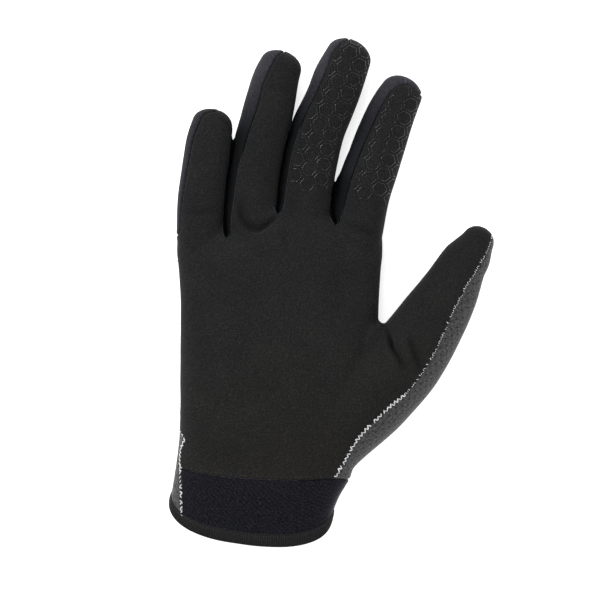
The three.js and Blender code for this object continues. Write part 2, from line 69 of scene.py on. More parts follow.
# x, y, half width, place of the palm panel's left seam across the finger
FINGERS = {
    "little": [
        (-61.4, 8.0, 9.0, -9.4),
        (-62.3, 24.5, 10.8, -9.4),
        (-62.2, 34.4, 11.1, -9.2),
        (-61.7, 43.8, 11.1, -8.9),
        (-60.6, 53.3, 10.9, -8.4),
        (-59.4, 62.7, 10.8, -7.9),
        (-58.1, 72.2, 10.5, -7.2),
        (-56.4, 79.7, 9.6, -5.3),
    ],
    "ring": [
        (-39.6, 10.0, 11.0, -9.0),
        (-39.2, 22.0, 11.8, -9.0),
        (-38.4, 34.4, 11.8, -8.9),
        (-37.3, 46.2, 11.7, -8.4),
        (-35.9, 58.0, 11.6, -7.9),
        (-33.5, 72.2, 11.8, -6.4),
        (-30.1, 86.3, 11.8, -5.1),
        (-26.9, 99.6, 11.0, -4.6),
        (-24.0, 107.1, 10.1, -3.4),
    ],
    "middle": [
        (-15.6, 10.0, 11.0, -9.4),
        (-14.6, 22.6, 12.0, -9.4),
        (-13.2, 38.1, 12.1, -9.4),
        (-11.7, 50.9, 12.1, -9.3),
        (-9.7, 63.7, 12.3, -9.0),
        (-6.0, 78.3, 12.6, -8.0),
        (-0.5, 91.1, 12.5, -7.4),
        (4.1, 102.8, 12.0, -6.9),
        (8.0, 111.6, 10.9, -6.0),
    ],
    "index": [
        (8.4, 8.0, 10.6, -8.4),
        (10.9, 22.6, 12.1, -8.4),
        (13.4, 37.2, 12.2, -8.2),
        (16.1, 49.5, 12.4, -7.8),
        (20.0, 62.7, 12.6, -7.2),
        (25.4, 78.3, 11.9, -5.8),
        (29.8, 88.2, 11.0, -5.4),
        (33.0, 94.2, 10.1, -3.4),
    ],
}
FINGERTIP_LENGTH = {"little": 7.2, "ring": 7.2, "middle": 8.0, "index": 8.0}
FINGER_Z = 11.6
FINGER_ROUNDNESS = 2.15
FINGER_RISE = 0.86
FINGER_DROP = 0.98
FINGER_BEND_Y = 30
FINGER_SLOPE = 0.07

# x, y, z, half width, rise to the palm side, drop to the back
THUMB = [
    (-12.8, -90.8, 15.0, 12.0, 13.0, 15.5),
    (0.9, -71.0, 15.0, 15.0, 16.0, 16.0),
    (16.5, -52.1, 15.0, 18.9, 17.4, 16.0),
    (32.8, -34.1, 15.0, 18.6, 16.6, 15.4),
    (44.4, -17.6, 15.2, 17.0, 14.4, 14.2),
    (54.6, -0.9, 16.0, 14.4, 12.2, 12.2),
    (61.2, 12.1, 17.2, 11.8, 10.4, 10.4),
    (65.2, 18.0, 17.9, 10.5, 9.6, 9.6),
    (69.0, 24.4, 19.0, 7.7, 8.0, 8.0),
]
THUMB_TIP_LENGTH = 7.0
THUMB_BEND_Y = -14
THUMB_SLOPE = 0.185
THUMB_WEB = [
    (8.0, -34.0, 14.0, 9.0, 11.0, 10.0),
    (19.7, -21.1, 14.0, 8.0, 10.0, 9.0),
]
THUMB_WEB_TIP_LENGTH = 8.0

# Between the fingers the end of the palm bows forward in the middle
WEB_BOW = 9
WEB_BOW_MIDDLE_X = -20
WEB_BOW_HALF_WIDTH = 23
WEB_BOW_LEAST = -3
WEB_BOW_FROM_Y = 10
WEB_BOW_TO_Y = 22

# Soft hollows of the palm side: x, y, reach along x and y, depth
HOLLOWS = [
    (9, 2, 13, 17, 2.6),
    (27, -22, 7, 9, 1.8),
    (-40, 28, 12, 4, 1.2),
    (-33, -12, 14, 24, 1.4),
    (-34, -80, 30, 7, 1.0),
]
HOLLOW_FLOOR_Z = 16

SKIN_SIDES = 72
ROWS_PER_GAP = 5
DOME_STEPS = 8
DOME_TURN = math.radians(88)
VOXEL = 0.95 * MM
SOFTENING_ROUNDS = 7
FLOOR_SOFTNESS = 0.5


def smooth_rows(rows, per_gap=ROWS_PER_GAP):
    """Rows between the given ones, on a smooth curve through all of them."""
    rows = np.array(rows, float)
    made = []
    for index in range(len(rows) - 1):
        before = rows[max(index - 1, 0)]
        here = rows[index]
        after = rows[index + 1]
        later = rows[min(index + 2, len(rows) - 1)]
        for step in range(per_gap):
            t = step / per_gap
            made.append(0.5 * (
                2 * here + (after - before) * t
                + (2 * before - 5 * here + 4 * after - later) * t ** 2
                + (3 * here - before - 3 * after + later) * t ** 3
            ))
    made.append(rows[-1])
    return np.array(made)


def oval(turn, half, rise, drop, roundness):
    """Side and height of the point at an angle on a squarish oval."""
    across = math.cos(turn)
    up = math.sin(turn)
    side = half * math.copysign(abs(across) ** (2 / roundness), across)
    height = (rise if up > 0 else drop) * math.copysign(abs(up) ** (2 / roundness), up)
    return side, height


def carried_on(bm, edges):
    """Extrudes a ring of edges once and gives the new ring's corners and edges."""
    made = bmesh.ops.extrude_edge_only(bm, edges=edges)["geom"]
    ring = [item for item in made if isinstance(item, bmesh.types.BMVert)]
    fresh = set(ring)
    edges = [item for item in made if isinstance(item, bmesh.types.BMEdge) and fresh.issuperset(item.verts)]
    return ring, edges


def carry_circle(bm, sections, sides=SKIN_SIDES, ends=True):
    """A tube: a circle extruded from section to section, each given as a function of the turn."""
    turn = bm.verts.layers.float["turn"]
    ring = bmesh.ops.create_circle(bm, cap_ends=ends, segments=sides, radius=1)["verts"]
    for vert in ring:
        vert[turn] = math.atan2(vert.co.y, vert.co.x)
    edges = list(dict.fromkeys(edge for vert in ring for edge in vert.link_edges))
    for vert in ring:
        vert.co = sections[0](vert[turn])
    for section in sections[1:]:
        ring, edges = carried_on(bm, edges)
        for vert in ring:
            vert.co = section(vert[turn])
    if ends:
        bmesh.ops.contextual_create(bm, geom=edges)


def finger_section(x, y, z, way, half, rise, drop):
    """The section across a finger at a point, square to the way that the finger runs."""
    def place(turn):
        side, height = oval(turn, half, rise, drop, FINGER_ROUNDNESS)
        return Vector((x + way[1] * side - OFF_MIDDLE_X, y - way[0] * side, z + height)) * MM
    return place


def ways_along(line):
    """The way that a line runs in plan, at each of its points."""
    ways = np.gradient(line[:, :2], axis=0)
    return ways / np.linalg.norm(ways, axis=1)[:, None]


def finger_sections(rows, tip_length, climb):
    """Sections along a finger and over its rounded tip. Rows: x, y, z, half, rise, drop."""
    rows = smooth_rows(rows)
    ways = ways_along(rows)
    sections = [finger_section(*row[:3], way, *row[3:]) for row, way in zip(rows, ways)]
    x, y, z, half, rise, drop = rows[-1]
    way = ways[-1]
    for step in range(1, DOME_STEPS + 1):
        angle = DOME_TURN * step / DOME_STEPS
        forward = tip_length * math.sin(angle)
        share = math.cos(angle)
        sections.append(finger_section(
            x + way[0] * forward, y + way[1] * forward, z + climb * forward,
            way, half * share, rise * share, drop * share,
        ))
    return sections


def trunk_section(y, left, right, bottom, top, roundness):
    """The section across the hand or wrist at a place along it."""
    middle = bottom + (top - bottom) * TRUNK_WIDEST

    def place(turn):
        side, height = oval(turn, (right - left) / 2, top - middle, middle - bottom, roundness)
        x = (left + right) / 2 + side
        over = (x - WEB_BOW_MIDDLE_X) / WEB_BOW_HALF_WIDTH
        bow = max(WEB_BOW_LEAST, WEB_BOW * (1 - over * over))
        share = min(max((y - WEB_BOW_FROM_Y) / (WEB_BOW_TO_Y - WEB_BOW_FROM_Y), 0), 1)
        return Vector((x - OFF_MIDDLE_X, y + bow * share, middle + height)) * MM
    return place


def finger_height(y):
    """Height of a finger's middle, which climbs towards the tip."""
    return FINGER_Z + FINGER_SLOPE * max(0, y - FINGER_BEND_Y)


def finger_rows(name):
    """Rows of one finger: x, y, z, half, rise, drop."""
    return [
        (x, y, finger_height(y), half, half * FINGER_RISE, half * FINGER_DROP)
        for x, y, half, _ in FINGERS[name]
    ]


# Where two fingers touch, from the open end down to the pocket's end in the palm
POCKETS = {
    "little_ring": [
        (-46.8, 71.7), (-47.7, 62.7), (-48.7, 58.0), (-49.6, 53.3), (-50.1, 48.5), (-50.5, 43.8),
        (-50.8, 39.1), (-50.8, 34.4), (-50.4, 29.6), (-49.4, 25.9),
    ],
    "ring_middle": [
        (-19.8, 77.8), (-20.8, 72.2), (-22.2, 67.4), (-22.9, 62.7), (-23.9, 58.0), (-24.6, 53.3),
        (-25.3, 48.5), (-25.8, 43.8), (-26.0, 40.0), (-25.0, 37.2),
    ],
    "middle_index": [(0.9, 50.4), (0.5, 48.5), (0.2, 43.8), (0.1, 39.1), (0.6, 35.8), (2.1, 32.0)],
}
POCKET_WEB = 1.7
POCKET_WEB_DROP = 8.0
POCKET_WEB_RIGHT = 0.5
POCKET_WEB_LOW = 0.5
POCKET_WEB_TIP_LENGTH = 0.4

# Small gussets that close the open end of a gap to a sharp V: x, y, half width
GUSSETS = [
    [(3.0, 47.0, 2.5), (3.7, 50.0, 2.1), (4.6, 53.5, 1.2), (5.4, 56.0, 0.7)],
    [(-45.9, 67.0, 1.6), (-45.6, 69.5, 1.2), (-45.2, 72.0, 0.7)],
]
GUSSET_TIP_LENGTH = 0.6

# Open ends of the gaps: x, y, how far each bank is held off while the tubes melt together, and how far
# the left and the right bank then close in beyond that
GAP_ENDS = [
    [
        (-47.4, 69.5, 0, 0, 0), (-46.6, 73.0, 0.1, 0.3, 0.3), (-46.4, 76.0, 0.1, 0.3, 0.3),
        (-46.2, 80.0, 0, 0, 0.2), (-45.9, 84.0, 0, 0, 0),
    ],
    [
        (-20.2, 74.5, 0, 0, 0), (-19.2, 78.5, 0.7, 0, 0), (-18.2, 82.5, 0.9, 0.1, -0.2),
        (-17.2, 86.5, 0.8, 0.2, -0.3), (-15.6, 91.5, 0.4, 0.3, -0.4), (-13.4, 98.0, 0, 0.3, -0.4),
        (-11.0, 104.0, 0, 0, 0),
    ],
    [
        (0.6, 47.5, 0, 0, 0), (1.2, 51.0, 0.2, 0.3, 0.9), (2.2, 54.5, 0, 0.45, 1.3),
        (3.2, 58.0, 0, 0.45, 1.0), (4.6, 62.7, 0, 0.4, 0.5), (6.1, 67.4, 0, 0.2, 0), (7.5, 72.0, 0, 0, 0),
    ],
]
BANK_SOFT = 0.6
BANK_FLAT = 1.5
BANK_REACH = 3.0


def move_banks(points, apart):
    """Holds the banks of the gaps apart, or closes them again after the melting."""
    for rows in GAP_ENDS:
        rows = np.array(rows)
        over = points[:, 0] - np.interp(points[:, 1], rows[:, 1], rows[:, 0])
        hold, left, right = (np.interp(points[:, 1], rows[:, 1], rows[:, column]) for column in (2, 3, 4))
        off = np.clip(np.abs(over) - BANK_FLAT, 0, None)
        near = np.exp(-(off / BANK_REACH) ** 2) * np.tanh(over / BANK_SOFT)
        closing = -hold - np.where(over > 0, right, left)
        points[:, 0] += near * (hold if apart else closing)


def web_sections(points):
    """Sections of the thin web that closes the ground between two fingers, seen from the palm side."""
    rows = []
    for x, y in points:
        z = finger_height(y) - POCKET_WEB_LOW
        rows.append((x + POCKET_WEB_RIGHT, y, z, POCKET_WEB, POCKET_WEB, POCKET_WEB_DROP))
    return finger_sections(rows[::-1], POCKET_WEB_TIP_LENGTH, 0)


def table_points(bm):
    """The corners' places in the tables' millimetres."""
    points = np.array([vert.co for vert in bm.verts]) / MM
    points[:, 0] += OFF_MIDDLE_X
    return points


def mesh_from(name, bm):
    """A mesh from a bmesh, which is then done with."""
    mesh = bpy.data.meshes.new(name)
    bm.to_mesh(mesh)
    bm.free()
    return mesh


def add_object(name, data):
    """A new object in the scene."""
    made = bpy.data.objects.new(name, data)
    bpy.context.scene.collection.objects.link(made)
    return made


hand = bmesh.new()
hand.verts.layers.float.new("turn")
carry_circle(hand, [trunk_section(*row) for row in smooth_rows(TRUNK)])
for name in FINGERS:
    carry_circle(hand, finger_sections(finger_rows(name), FINGERTIP_LENGTH[name], FINGER_SLOPE))
for points in POCKETS.values():
    carry_circle(hand, web_sections(points))
for rows in GUSSETS:
    rows = [(x, y, finger_height(y), half, half, half) for x, y, half in rows]
    carry_circle(hand, finger_sections(rows, GUSSET_TIP_LENGTH, 0))
carry_circle(hand, finger_sections(THUMB, THUMB_TIP_LENGTH, THUMB_SLOPE))
carry_circle(hand, finger_sections(THUMB_WEB, THUMB_WEB_TIP_LENGTH, 0))
bmesh.ops.recalc_face_normals(hand, faces=hand.faces)
spots = table_points(hand)
move_banks(spots, apart=True)
for vert, spot in zip(hand.verts, spots):
    vert.co.x = (spot[0] - OFF_MIDDLE_X) * MM
hand_object = add_object("hand_shape", mesh_from("hand_shape", hand))
melt = hand_object.modifiers.new("melt", "REMESH")
melt.mode = "VOXEL"
melt.voxel_size = VOXEL
soften = hand_object.modifiers.new("soften", "SMOOTH")
soften.factor = 0.5
soften.iterations = SOFTENING_ROUNDS
melted = hand_object.evaluated_get(bpy.context.evaluated_depsgraph_get())
skin_mesh = bpy.data.meshes.new_from_object(melted)
bpy.data.objects.remove(hand_object)


def curve_through(points, step=0.8):
    """Points about step apart on a smooth line through the given ones."""
    points = np.array(points, float)
    spacing = np.linalg.norm(np.diff(points, axis=0), axis=1).mean()
    return smooth_rows(points, max(2, round(spacing / step)))


POINTS_AT_A_TIME = 1000


def line_gap(line, points):
    """Distance from each point to a line, and how far along it the nearest place lies, from 0 to 1."""
    x, y = line[:-1].T
    reach_x, reach_y = np.diff(line, axis=0).T
    square = reach_x ** 2 + reach_y ** 2 + 1e-12
    gaps = np.empty(len(points))
    places = np.empty(len(points))
    for first in range(0, len(points), POINTS_AT_A_TIME):
        batch = slice(first, first + POINTS_AT_A_TIME)
        here = points[batch]
        over = here[:, :1] - x
        up = here[:, 1:2] - y
        share = np.clip((over * reach_x + up * reach_y) / square, 0, 1)
        gap = (over - share * reach_x) ** 2 + (up - share * reach_y) ** 2
        nearest = gap.argmin(1)
        rows = np.arange(len(here))
        gaps[batch] = np.sqrt(gap[rows, nearest])
        places[batch] = (nearest + share[rows, nearest]) / len(x)
    return gaps, places


# Folds of the suede: points on the line, depth, width of the groove, height of the ridge beside it and how
# much painted shade darkens the groove
FOLDS = [
    ([(24.0, -14.0), (26.6, -19.5), (28.6, -25.5), (31.5, -30.5), (34.8, -37.0)], 2.8, 1.3, 0.7, 0.62),
    ([(35.9, -20.4), (38.7, -28.0), (42.0, -37.5)], 1.4, 1.3, 0.5, 0.40),
    ([(-44.6, 43.5), (-41.5, 34.0), (-36.0, 30.3), (-29.3, 33.4), (-25.4, 37.2)], 3.0, 1.8, 0.5, 0.38),
    ([(6.1, 33.4), (12.5, 29.5), (20.3, 26.8)], 0.8, 1.6, 0.3, 0.22),
    ([(-70.8, 38.4), (-63.0, 37.6), (-53.0, 38.4)], 0.4, 1.5, 0.15, 0.20),
    ([(-22.0, 31.5), (-21.6, 26.0), (-21.0, 18.0)], 0.4, 1.5, 0.15, 0.16),
]
# Painted soft shade on the suede: x, y, reach along x and y, how much darker
PAINTED_SHADES = [
    (-42.8, 38.5, 2.6, 6.0, 0.34),
    (-18.5, 41.0, 4.0, 6.0, 0.22),
    (-16.5, 56.0, 4.0, 9.0, 0.22),
    (-14.0, 67.0, 4.0, 8.0, 0.30),
    (-10.5, 78.0, 4.0, 8.0, 0.30),
    (-6.0, 89.0, 3.5, 8.0, 0.20),
    (9.5, 43.0, 2.5, 9.0, 0.10),
    (24.5, -13.0, 5.0, 7.0, 0.18),
]
# Round the folds and pockets the skin gets a finer mesh
FINE_WITHIN = 2.6
FINE_ABOVE_Z = 9.6
finer = bmesh.new()
finer.from_mesh(skin_mesh)
near = np.full(len(finer.verts), False)
points = table_points(finer)
for line_points in [fold[0] for fold in FOLDS] + list(POCKETS.values()):
    near |= (line_gap(curve_through(line_points), points)[0] < FINE_WITHIN) & (points[:, 2] > FINE_ABOVE_Z)
finer.verts.index_update()
chosen = [edge for edge in finer.edges if near[edge.verts[0].index] and near[edge.verts[1].index]]
bmesh.ops.subdivide_edges(finer, edges=chosen, cuts=1, use_grid_fill=True, smooth=0.4)
finer.to_mesh(skin_mesh)
finer.free()

# The hollows, folds and a slight unevenness of the cloth, moved into the skin
FOLD_PART = (0.02, 0.98)
UNEVEN = 0.22
UNEVEN_SIZE = 13.0
RIDGE_AT = 2.4
RIDGE_WIDTH = 1.3
count = len(skin_mesh.vertices)
flat = np.empty(count * 3)
skin_mesh.vertices.foreach_get("co", flat)
places = flat.reshape(-1, 3) / MM
places[:, 0] += OFF_MIDDLE_X
move_banks(places, apart=False)
skin_mesh.vertex_normals.foreach_get("vector", flat)
outward = flat.reshape(-1, 3).copy()
palm_side = np.clip((places[:, 2] - HOLLOW_FLOOR_Z) / HOLLOW_FLOOR_Z, 0, 1) ** 0.5
sink = np.zeros(count)
for x, y, reach_x, reach_y, depth in HOLLOWS:
    over = ((places[:, 0] - x) / reach_x) ** 2 + ((places[:, 1] - y) / reach_y) ** 2
    sink += depth * np.exp(-over) * palm_side
for fold_points, depth, width, ridge, _ in FOLDS:
    gap, along = line_gap(curve_through(fold_points), places[:, :2])
    ends = np.sin(np.pi * np.clip(along, *FOLD_PART)) ** 0.6
    facing = np.clip(outward[:, 2] * 2, 0, 1)
    sink += facing * ends * depth * np.exp(-(gap / width) ** 2)
    sink -= facing * ends * ridge * np.exp(-((gap - RIDGE_AT * width) / (RIDGE_WIDTH * width)) ** 2)
for number, place in enumerate(places):
    sink[number] += UNEVEN * noise.noise(Vector(place) / UNEVEN_SIZE)
places -= outward * sink[:, None]
places[:, 2] = FLOOR_SOFTNESS * np.logaddexp(0, places[:, 2] / FLOOR_SOFTNESS)
places[:, 0] -= OFF_MIDDLE_X
skin_mesh.vertices.foreach_set("co", (places * MM).ravel())
skin_mesh.update()

# The palm panel's outline in plan. Where it runs outside the hand, the panel reaches round to the side seam.
FORKS = {"ring": (-49.4, 25.9), "middle": (-25.0, 37.2), "index": (2.1, 32.0)}
LITTLE_OUTER_END = [(-84.0, 25.5), (-74.6, 25.5)]
# The seam over each fingertip, which ends outside the finger
TIP_SEAMS = {
    "little": [(-61.2, 82.8), (-59.5, 84.6), (-57.2, 85.4), (-54.3, 85.9), (-51.0, 87.6)],
    "ring": [(-26.9, 110.0), (-25.0, 112.3), (-23.1, 113.7), (-21.0, 115.0), (-18.5, 117.0)],
    "middle": [(0.0, 112.3), (1.9, 115.1), (4.3, 117.7), (7.1, 119.2), (10.5, 121.8)],
    "index": [
        (27.4, 94.4), (29.8, 96.3), (32.1, 97.7), (35.0, 98.6), (38.3, 97.2), (40.2, 94.8), (43.5, 93.0),
    ],
}
# From here on towards the tip the panel's right seam lies under the finger's side
FREE_FROM_Y = {"little": 75.5, "ring": 80.5, "middle": 52.5}
RIGHT_SEAM_SHARE = 0.985
OUTSIDE_BY = 0.5
THUMB_SEAM = [
    (79.4, 33.0), (75.8, 26.6), (72.9, 19.3), (68.0, 10.3), (62.9, 2.2), (57.1, -9.1), (54.7, -14.5),
    (50.0, -24.7), (44.9, -34.1), (35.9, -46.4), (25.0, -55.9), (12.7, -68.4), (4.7, -81.8), (1.2, -87.4),
]
CUFF_EDGE = [
    (-71.0, -82.3), (-62.4, -84.7), (-43.5, -87.0), (-19.8, -88.0), (1.2, -87.4), (9.0, -88.2),
    (18.0, -90.0),
]
WRIST_SEAM = [
    (-69.2, -68.9), (-71.3, -74.5), (-71.5, -83.0), (-71.0, -93.0), (-70.8, -112.0), (-70.8, -140.0),
]
WRIST_SEAM_START = [(-84.0, -61.0), (-74.0, -62.5), (-71.0, -66.0)]
# The outline starts again this far above a pocket's rounded end, and ends this far below a tip seam
CORNER = 4
POCKET_END = [(-2.1, 2.2), (-1.4, 0.7), (0.0, 0.0), (1.4, 0.7), (2.1, 2.2)]
SEAM_STEP = 6.0
SEAM_ROWS_PER_GAP = 12
THUMB_SIDE_CORNER = (70.0, 62.0)
CUFF_FAR_CORNERS = [(25.0, -90.0), (25.0, -140.0)]


def finger_line(name):
    """Centre line of a finger in plan, with the way it runs, its half width and its left seam."""
    rows = smooth_rows(FINGERS[name], SEAM_ROWS_PER_GAP)
    return rows, ways_along(rows)


def beside(row, way, side):
    """The point in plan at a distance to the right of a finger's centre line."""
    return (row[0] + way[1] * side, row[1] - way[0] * side)


# An outline needs only every fourth row. Round a fingertip it runs over two points ahead of the tip:
# their shares of the way out to the finger's side, and how far ahead they lie
THINNING = 4
TIP_SHARES = (0.55, 0.95)
TIP_AHEAD = 1.35
TIP_ROUNDING = 0.55
outline = [*LITTLE_OUTER_END]
for name in FINGERS:
    rows, ways = finger_line(name)
    start = len(rows) // 5
    if name in FORKS:
        fork_x, fork_y = FORKS[name]
        outline += [(fork_x + over, fork_y + up) for over, up in POCKET_END]
        start = next(i for i, row in enumerate(rows) if row[1] > FORKS[name][1] + CORNER)
    left = [beside(row, way, row[3]) for row, way in zip(rows, ways)][start::THINNING]
    left = [point for point in left if point[1] < TIP_SEAMS[name][0][1] - SEAM_STEP]
    outline += [tuple(point) for point in curve_through(left + TIP_SEAMS[name])]
    if name in FREE_FROM_Y:
        below = next(name for name, fork in FORKS.items() if fork[0] > rows[0][0])
        last = FORKS[below][1] + CORNER
        for share in TIP_SHARES:
            ahead = rows[-1, :2] + ways[-1] * FINGERTIP_LENGTH[name] * (TIP_AHEAD - TIP_ROUNDING * share)
            outline.append(beside((*ahead, 0), ways[-1], (rows[-1, 2] + OUTSIDE_BY) * share))
        for row, way in list(zip(rows, ways))[::-THINNING]:
            if row[1] > FREE_FROM_Y[name]:
                outline.append(beside(row, way, row[2] + OUTSIDE_BY))
            elif row[1] > last:
                outline.append(beside(row, way, row[2] * RIGHT_SEAM_SHARE))
cuff_line = curve_through(CUFF_EDGE)
cuff_join = int(np.argmin(np.abs(cuff_line[:, 0] - THUMB_SEAM[-1][0])))
wrist_line = curve_through(WRIST_SEAM)
wrist_join = int(np.argmin(np.linalg.norm(wrist_line - cuff_line[0], axis=1)))
outline.append(THUMB_SIDE_CORNER)
outline += [tuple(point) for point in curve_through(THUMB_SEAM)[:-1]]
outline += [tuple(point) for point in cuff_line[cuff_join::-1]]
outline += [tuple(point) for point in wrist_line[wrist_join - 1::-1]]
outline += WRIST_SEAM_START[::-1]
palm_outline = np.array(outline)
cuff_outline = np.array(
    [tuple(point) for point in cuff_line]
    + CUFF_FAR_CORNERS
    + [tuple(point) for point in wrist_line[:wrist_join - 1:-1]]
)

SIDE_SEAM_Z = 8.0
STRIP_TOP_Z = 11.2
STRIP_LOW_Z = 4.0
# Beside the wrist the side seam rises, between these places
WRIST_RISE = 8.0
WRIST_RISE_FROM_Y = -42
WRIST_RISE_OVER = 22
WRIST_RISE_LEFT_OF_X = -40
WRIST_RISE_END_Y = -68
INDEX_RIGHT_X = 58.0
THUMB_LEFT_X = 24.8
# The fingers begin beyond this line in plan
FINGERS_FROM_Y = 24.5
WEB_SLANT = 0.9
WEB_SLANT_START = -2
# Stands for a place that is far from a seam
FAR = 9.0
PALM_BELOW_SEAM = 5
CUFF_BELOW_SEAM = 4
CUFF_BELOW_Y = -60
STRIP_TOP_ABOVE_Z = 2


def inside_by(outline, points):
    """Distance from each point in plan to a closed outline, positive inside it."""
    closed = np.vstack([outline, outline[:1]])
    x, y = outline.T
    reach_x, reach_y = np.diff(closed, axis=0).T
    steep = np.where(np.abs(reach_y) < 1e-9, 1e-9, reach_y)
    odd = np.empty(len(points), bool)
    for first in range(0, len(points), POINTS_AT_A_TIME):
        batch = slice(first, first + POINTS_AT_A_TIME)
        here = points[batch]
        over = here[:, :1] - x
        up = here[:, 1:2] - y
        crosses = (up < 0) != (up < reach_y)
        odd[batch] = (crosses & (over < up / steep * reach_x)).sum(1) % 2 == 1
    gap = line_gap(closed, points)[0]
    return np.where(odd, gap, -gap)


def side_seam_height(points):
    """Height of the side seam, where the palm side meets the back."""
    x, y = points[:, 0], points[:, 1]
    height = np.full(len(points), SIDE_SEAM_Z)
    fingers = (y > FINGER_BEND_Y) & (x < INDEX_RIGHT_X)
    height[fingers] += FINGER_SLOPE * (y[fingers] - FINGER_BEND_Y)
    thumb = (y > THUMB_BEND_Y) & (x > THUMB_LEFT_X) & ~fingers
    height[thumb] += THUMB_SLOPE * (y[thumb] - THUMB_BEND_Y)
    wrist = np.clip((WRIST_RISE_FROM_Y - y) / WRIST_RISE_OVER, 0, 1)
    wrist = wrist * (x < WRIST_RISE_LEFT_OF_X) * (y > WRIST_RISE_END_Y)
    height += WRIST_RISE * wrist * wrist * (3 - 2 * wrist)
    return height


PAST_THE_TIP = 4
FINGER_LINES = {}
for name in FINGERS:
    rows, ways = finger_line(name)
    tip = rows[-1, :2] + ways[-1] * (FINGERTIP_LENGTH[name] + PAST_THE_TIP)
    thinned = rows[::SEAM_ROWS_PER_GAP // 3]
    FINGER_LINES[name] = np.vstack([thinned[:, :2], tip]), np.append(thinned[:, 2], rows[-1, 2])


INDEX = list(FINGERS).index("index")


def nearest_finger(points):
    """For each point: its finger, the place across that finger and how far past the finger's last row."""
    best = np.full(len(points), 99.0)
    which = np.zeros(len(points), int)
    across = np.zeros(len(points))
    past = np.zeros(len(points))
    for number, (line, halves) in enumerate(FINGER_LINES.values()):
        gap, place = line_gap(line, points[:, :2])
        index = np.minimum((place * (len(line) - 1)).astype(int), len(line) - 2)
        way = line[index + 1] - line[index]
        way /= np.linalg.norm(way, axis=1)[:, None]
        rel = points[:, :2] - line[index]
        side = rel[:, 0] * way[:, 1] - rel[:, 1] * way[:, 0]
        share = gap / halves[index]
        better = share < best
        best[better] = share[better]
        which[better] = number
        across[better] = side[better]
        tip_way = (line[-1] - line[-2]) / np.linalg.norm(line[-1] - line[-2])
        beyond = (points[:, :2] - line[-2]) @ tip_way
        past[better] = beyond[better]
    return which, across, past


def on_fingers(points):
    """Which points lie on the fingers, beyond the palm."""
    x, y = points[:, 0], points[:, 1]
    return (y > FINGERS_FROM_Y) & (x < INDEX_RIGHT_X) & (y > x * WEB_SLANT + WEB_SLANT_START)


def smoothstep(low, high, value):
    """0 below the lower value and 1 above the higher one, with a soft passage between them."""
    share = np.clip((value - low) / (high - low), 0, 1)
    return share * share * (3 - 2 * share)


def strip_band(points, level, drop):
    """Height above a level that lies lower on the right side of a finger than on the left."""
    which, across, _ = nearest_finger(points)
    right = smoothstep(-3, 5, across) * (which < INDEX) * smoothstep(22, 30, points[:, 1])
    climb = FINGER_SLOPE * np.clip(points[:, 1] - FINGER_BEND_Y, 0, None)
    return np.where(on_fingers(points), points[:, 2] - level - climb + drop * right, FAR)


def inside_where(outline, points, upper):
    """Distance inside an outline for the upper points. The others count as far outside it."""
    made = np.full(len(points), -FAR)
    made[upper] = inside_by(outline, points[upper, :2])
    return made


def palm_edge(points):
    """Distance inside the palm panel's outline, on the palm side and a little below the side seam."""
    return inside_where(palm_outline, points, points[:, 2] > side_seam_height(points) - PALM_BELOW_SEAM)


def cuff_edge(points):
    """Distance inside the wrist cuff's outline."""
    upper = (points[:, 2] > SIDE_SEAM_Z - CUFF_BELOW_SEAM) & (points[:, 1] < CUFF_BELOW_Y)
    return inside_where(cuff_outline, points, upper)


def side_seam(points):
    """Height above the side seam."""
    low = points[:, 2] - side_seam_height(points)
    return np.where(on_fingers(points), strip_band(points, SIDE_SEAM_Z, SIDE_SEAM_Z - STRIP_LOW_Z), low)


def strip_top(points):
    """Height above the top of the strip on the right side of each finger."""
    return np.where(points[:, 2] > STRIP_TOP_ABOVE_Z, strip_band(points, STRIP_TOP_Z, 0), -FAR)


# Over the little, ring and middle fingertips: where the strips of both sides meet
TIP_DIVIDERS = (3.2, 1.6, 1.2)
ON_TIP_FROM = -2


def dividers(points):
    """Place across the fingertip from the line where the two strips of one finger meet."""
    which, across, past = nearest_finger(points)
    made = np.full(len(points), FAR)
    for number, divider in enumerate(TIP_DIVIDERS):
        chosen = (which == number) & (past > ON_TIP_FROM)
        made[chosen] = across[chosen] - divider
    return made


# Hem: its line seen from the side, z and y at the middle of the wrist, and its slant across the wrist
HEM_PROFILE = [
    (-12.0, -101.4), (4.0, -101.8), (11.0, -102.6), (16.5, -104.1), (22.0, -107.9), (35.0, -118.3),
    (60.0, -138.4),
]
HEM_SLANT = -0.107
HEM_MIDDLE_X = -38.7


def above_hem(points):
    """Distance along the arm from the hem, positive towards the fingers."""
    profile = smooth_rows(HEM_PROFILE)
    line = np.interp(points[:, 2], profile[:, 0], profile[:, 1])
    return points[:, 1] - line - HEM_SLANT * (points[:, 0] - HEM_MIDDLE_X)


SNAP = 0.22


def cut_where(bm, field):
    """Splits the faces along the line where a field is zero. Corners close to it move onto it first."""
    bm.verts.index_update()
    bm.verts.ensure_lookup_table()
    bm.edges.ensure_lookup_table()
    value = field(table_points(bm))
    ends = np.array([(edge.verts[0].index, edge.verts[1].index) for edge in bm.edges])

    def crossing():
        first, second = value[ends[:, 0]], value[ends[:, 1]]
        found = np.flatnonzero(first * second < 0)
        return found, first[found] / (first[found] - second[found])
    moved = set()
    for number, share in zip(*crossing()):
        near, far = ends[number]
        if share > 0.5:
            near, far = far, near
            share = 1 - share
        if share < SNAP and near not in moved and far not in moved:
            moved.add(near)
            corner = bm.verts[near]
            corner.co = corner.co.lerp(bm.verts[far].co, share)
    value[list(moved)] = 0
    on_line = [bm.verts[number] for number in moved]
    splits = [(bm.edges[number], bm.verts[ends[number][0]], share) for number, share in zip(*crossing())]
    for edge, corner, share in splits:
        on_line.append(bmesh.utils.edge_split(edge, corner, float(share))[1])
    bmesh.ops.connect_verts(bm, verts=on_line)


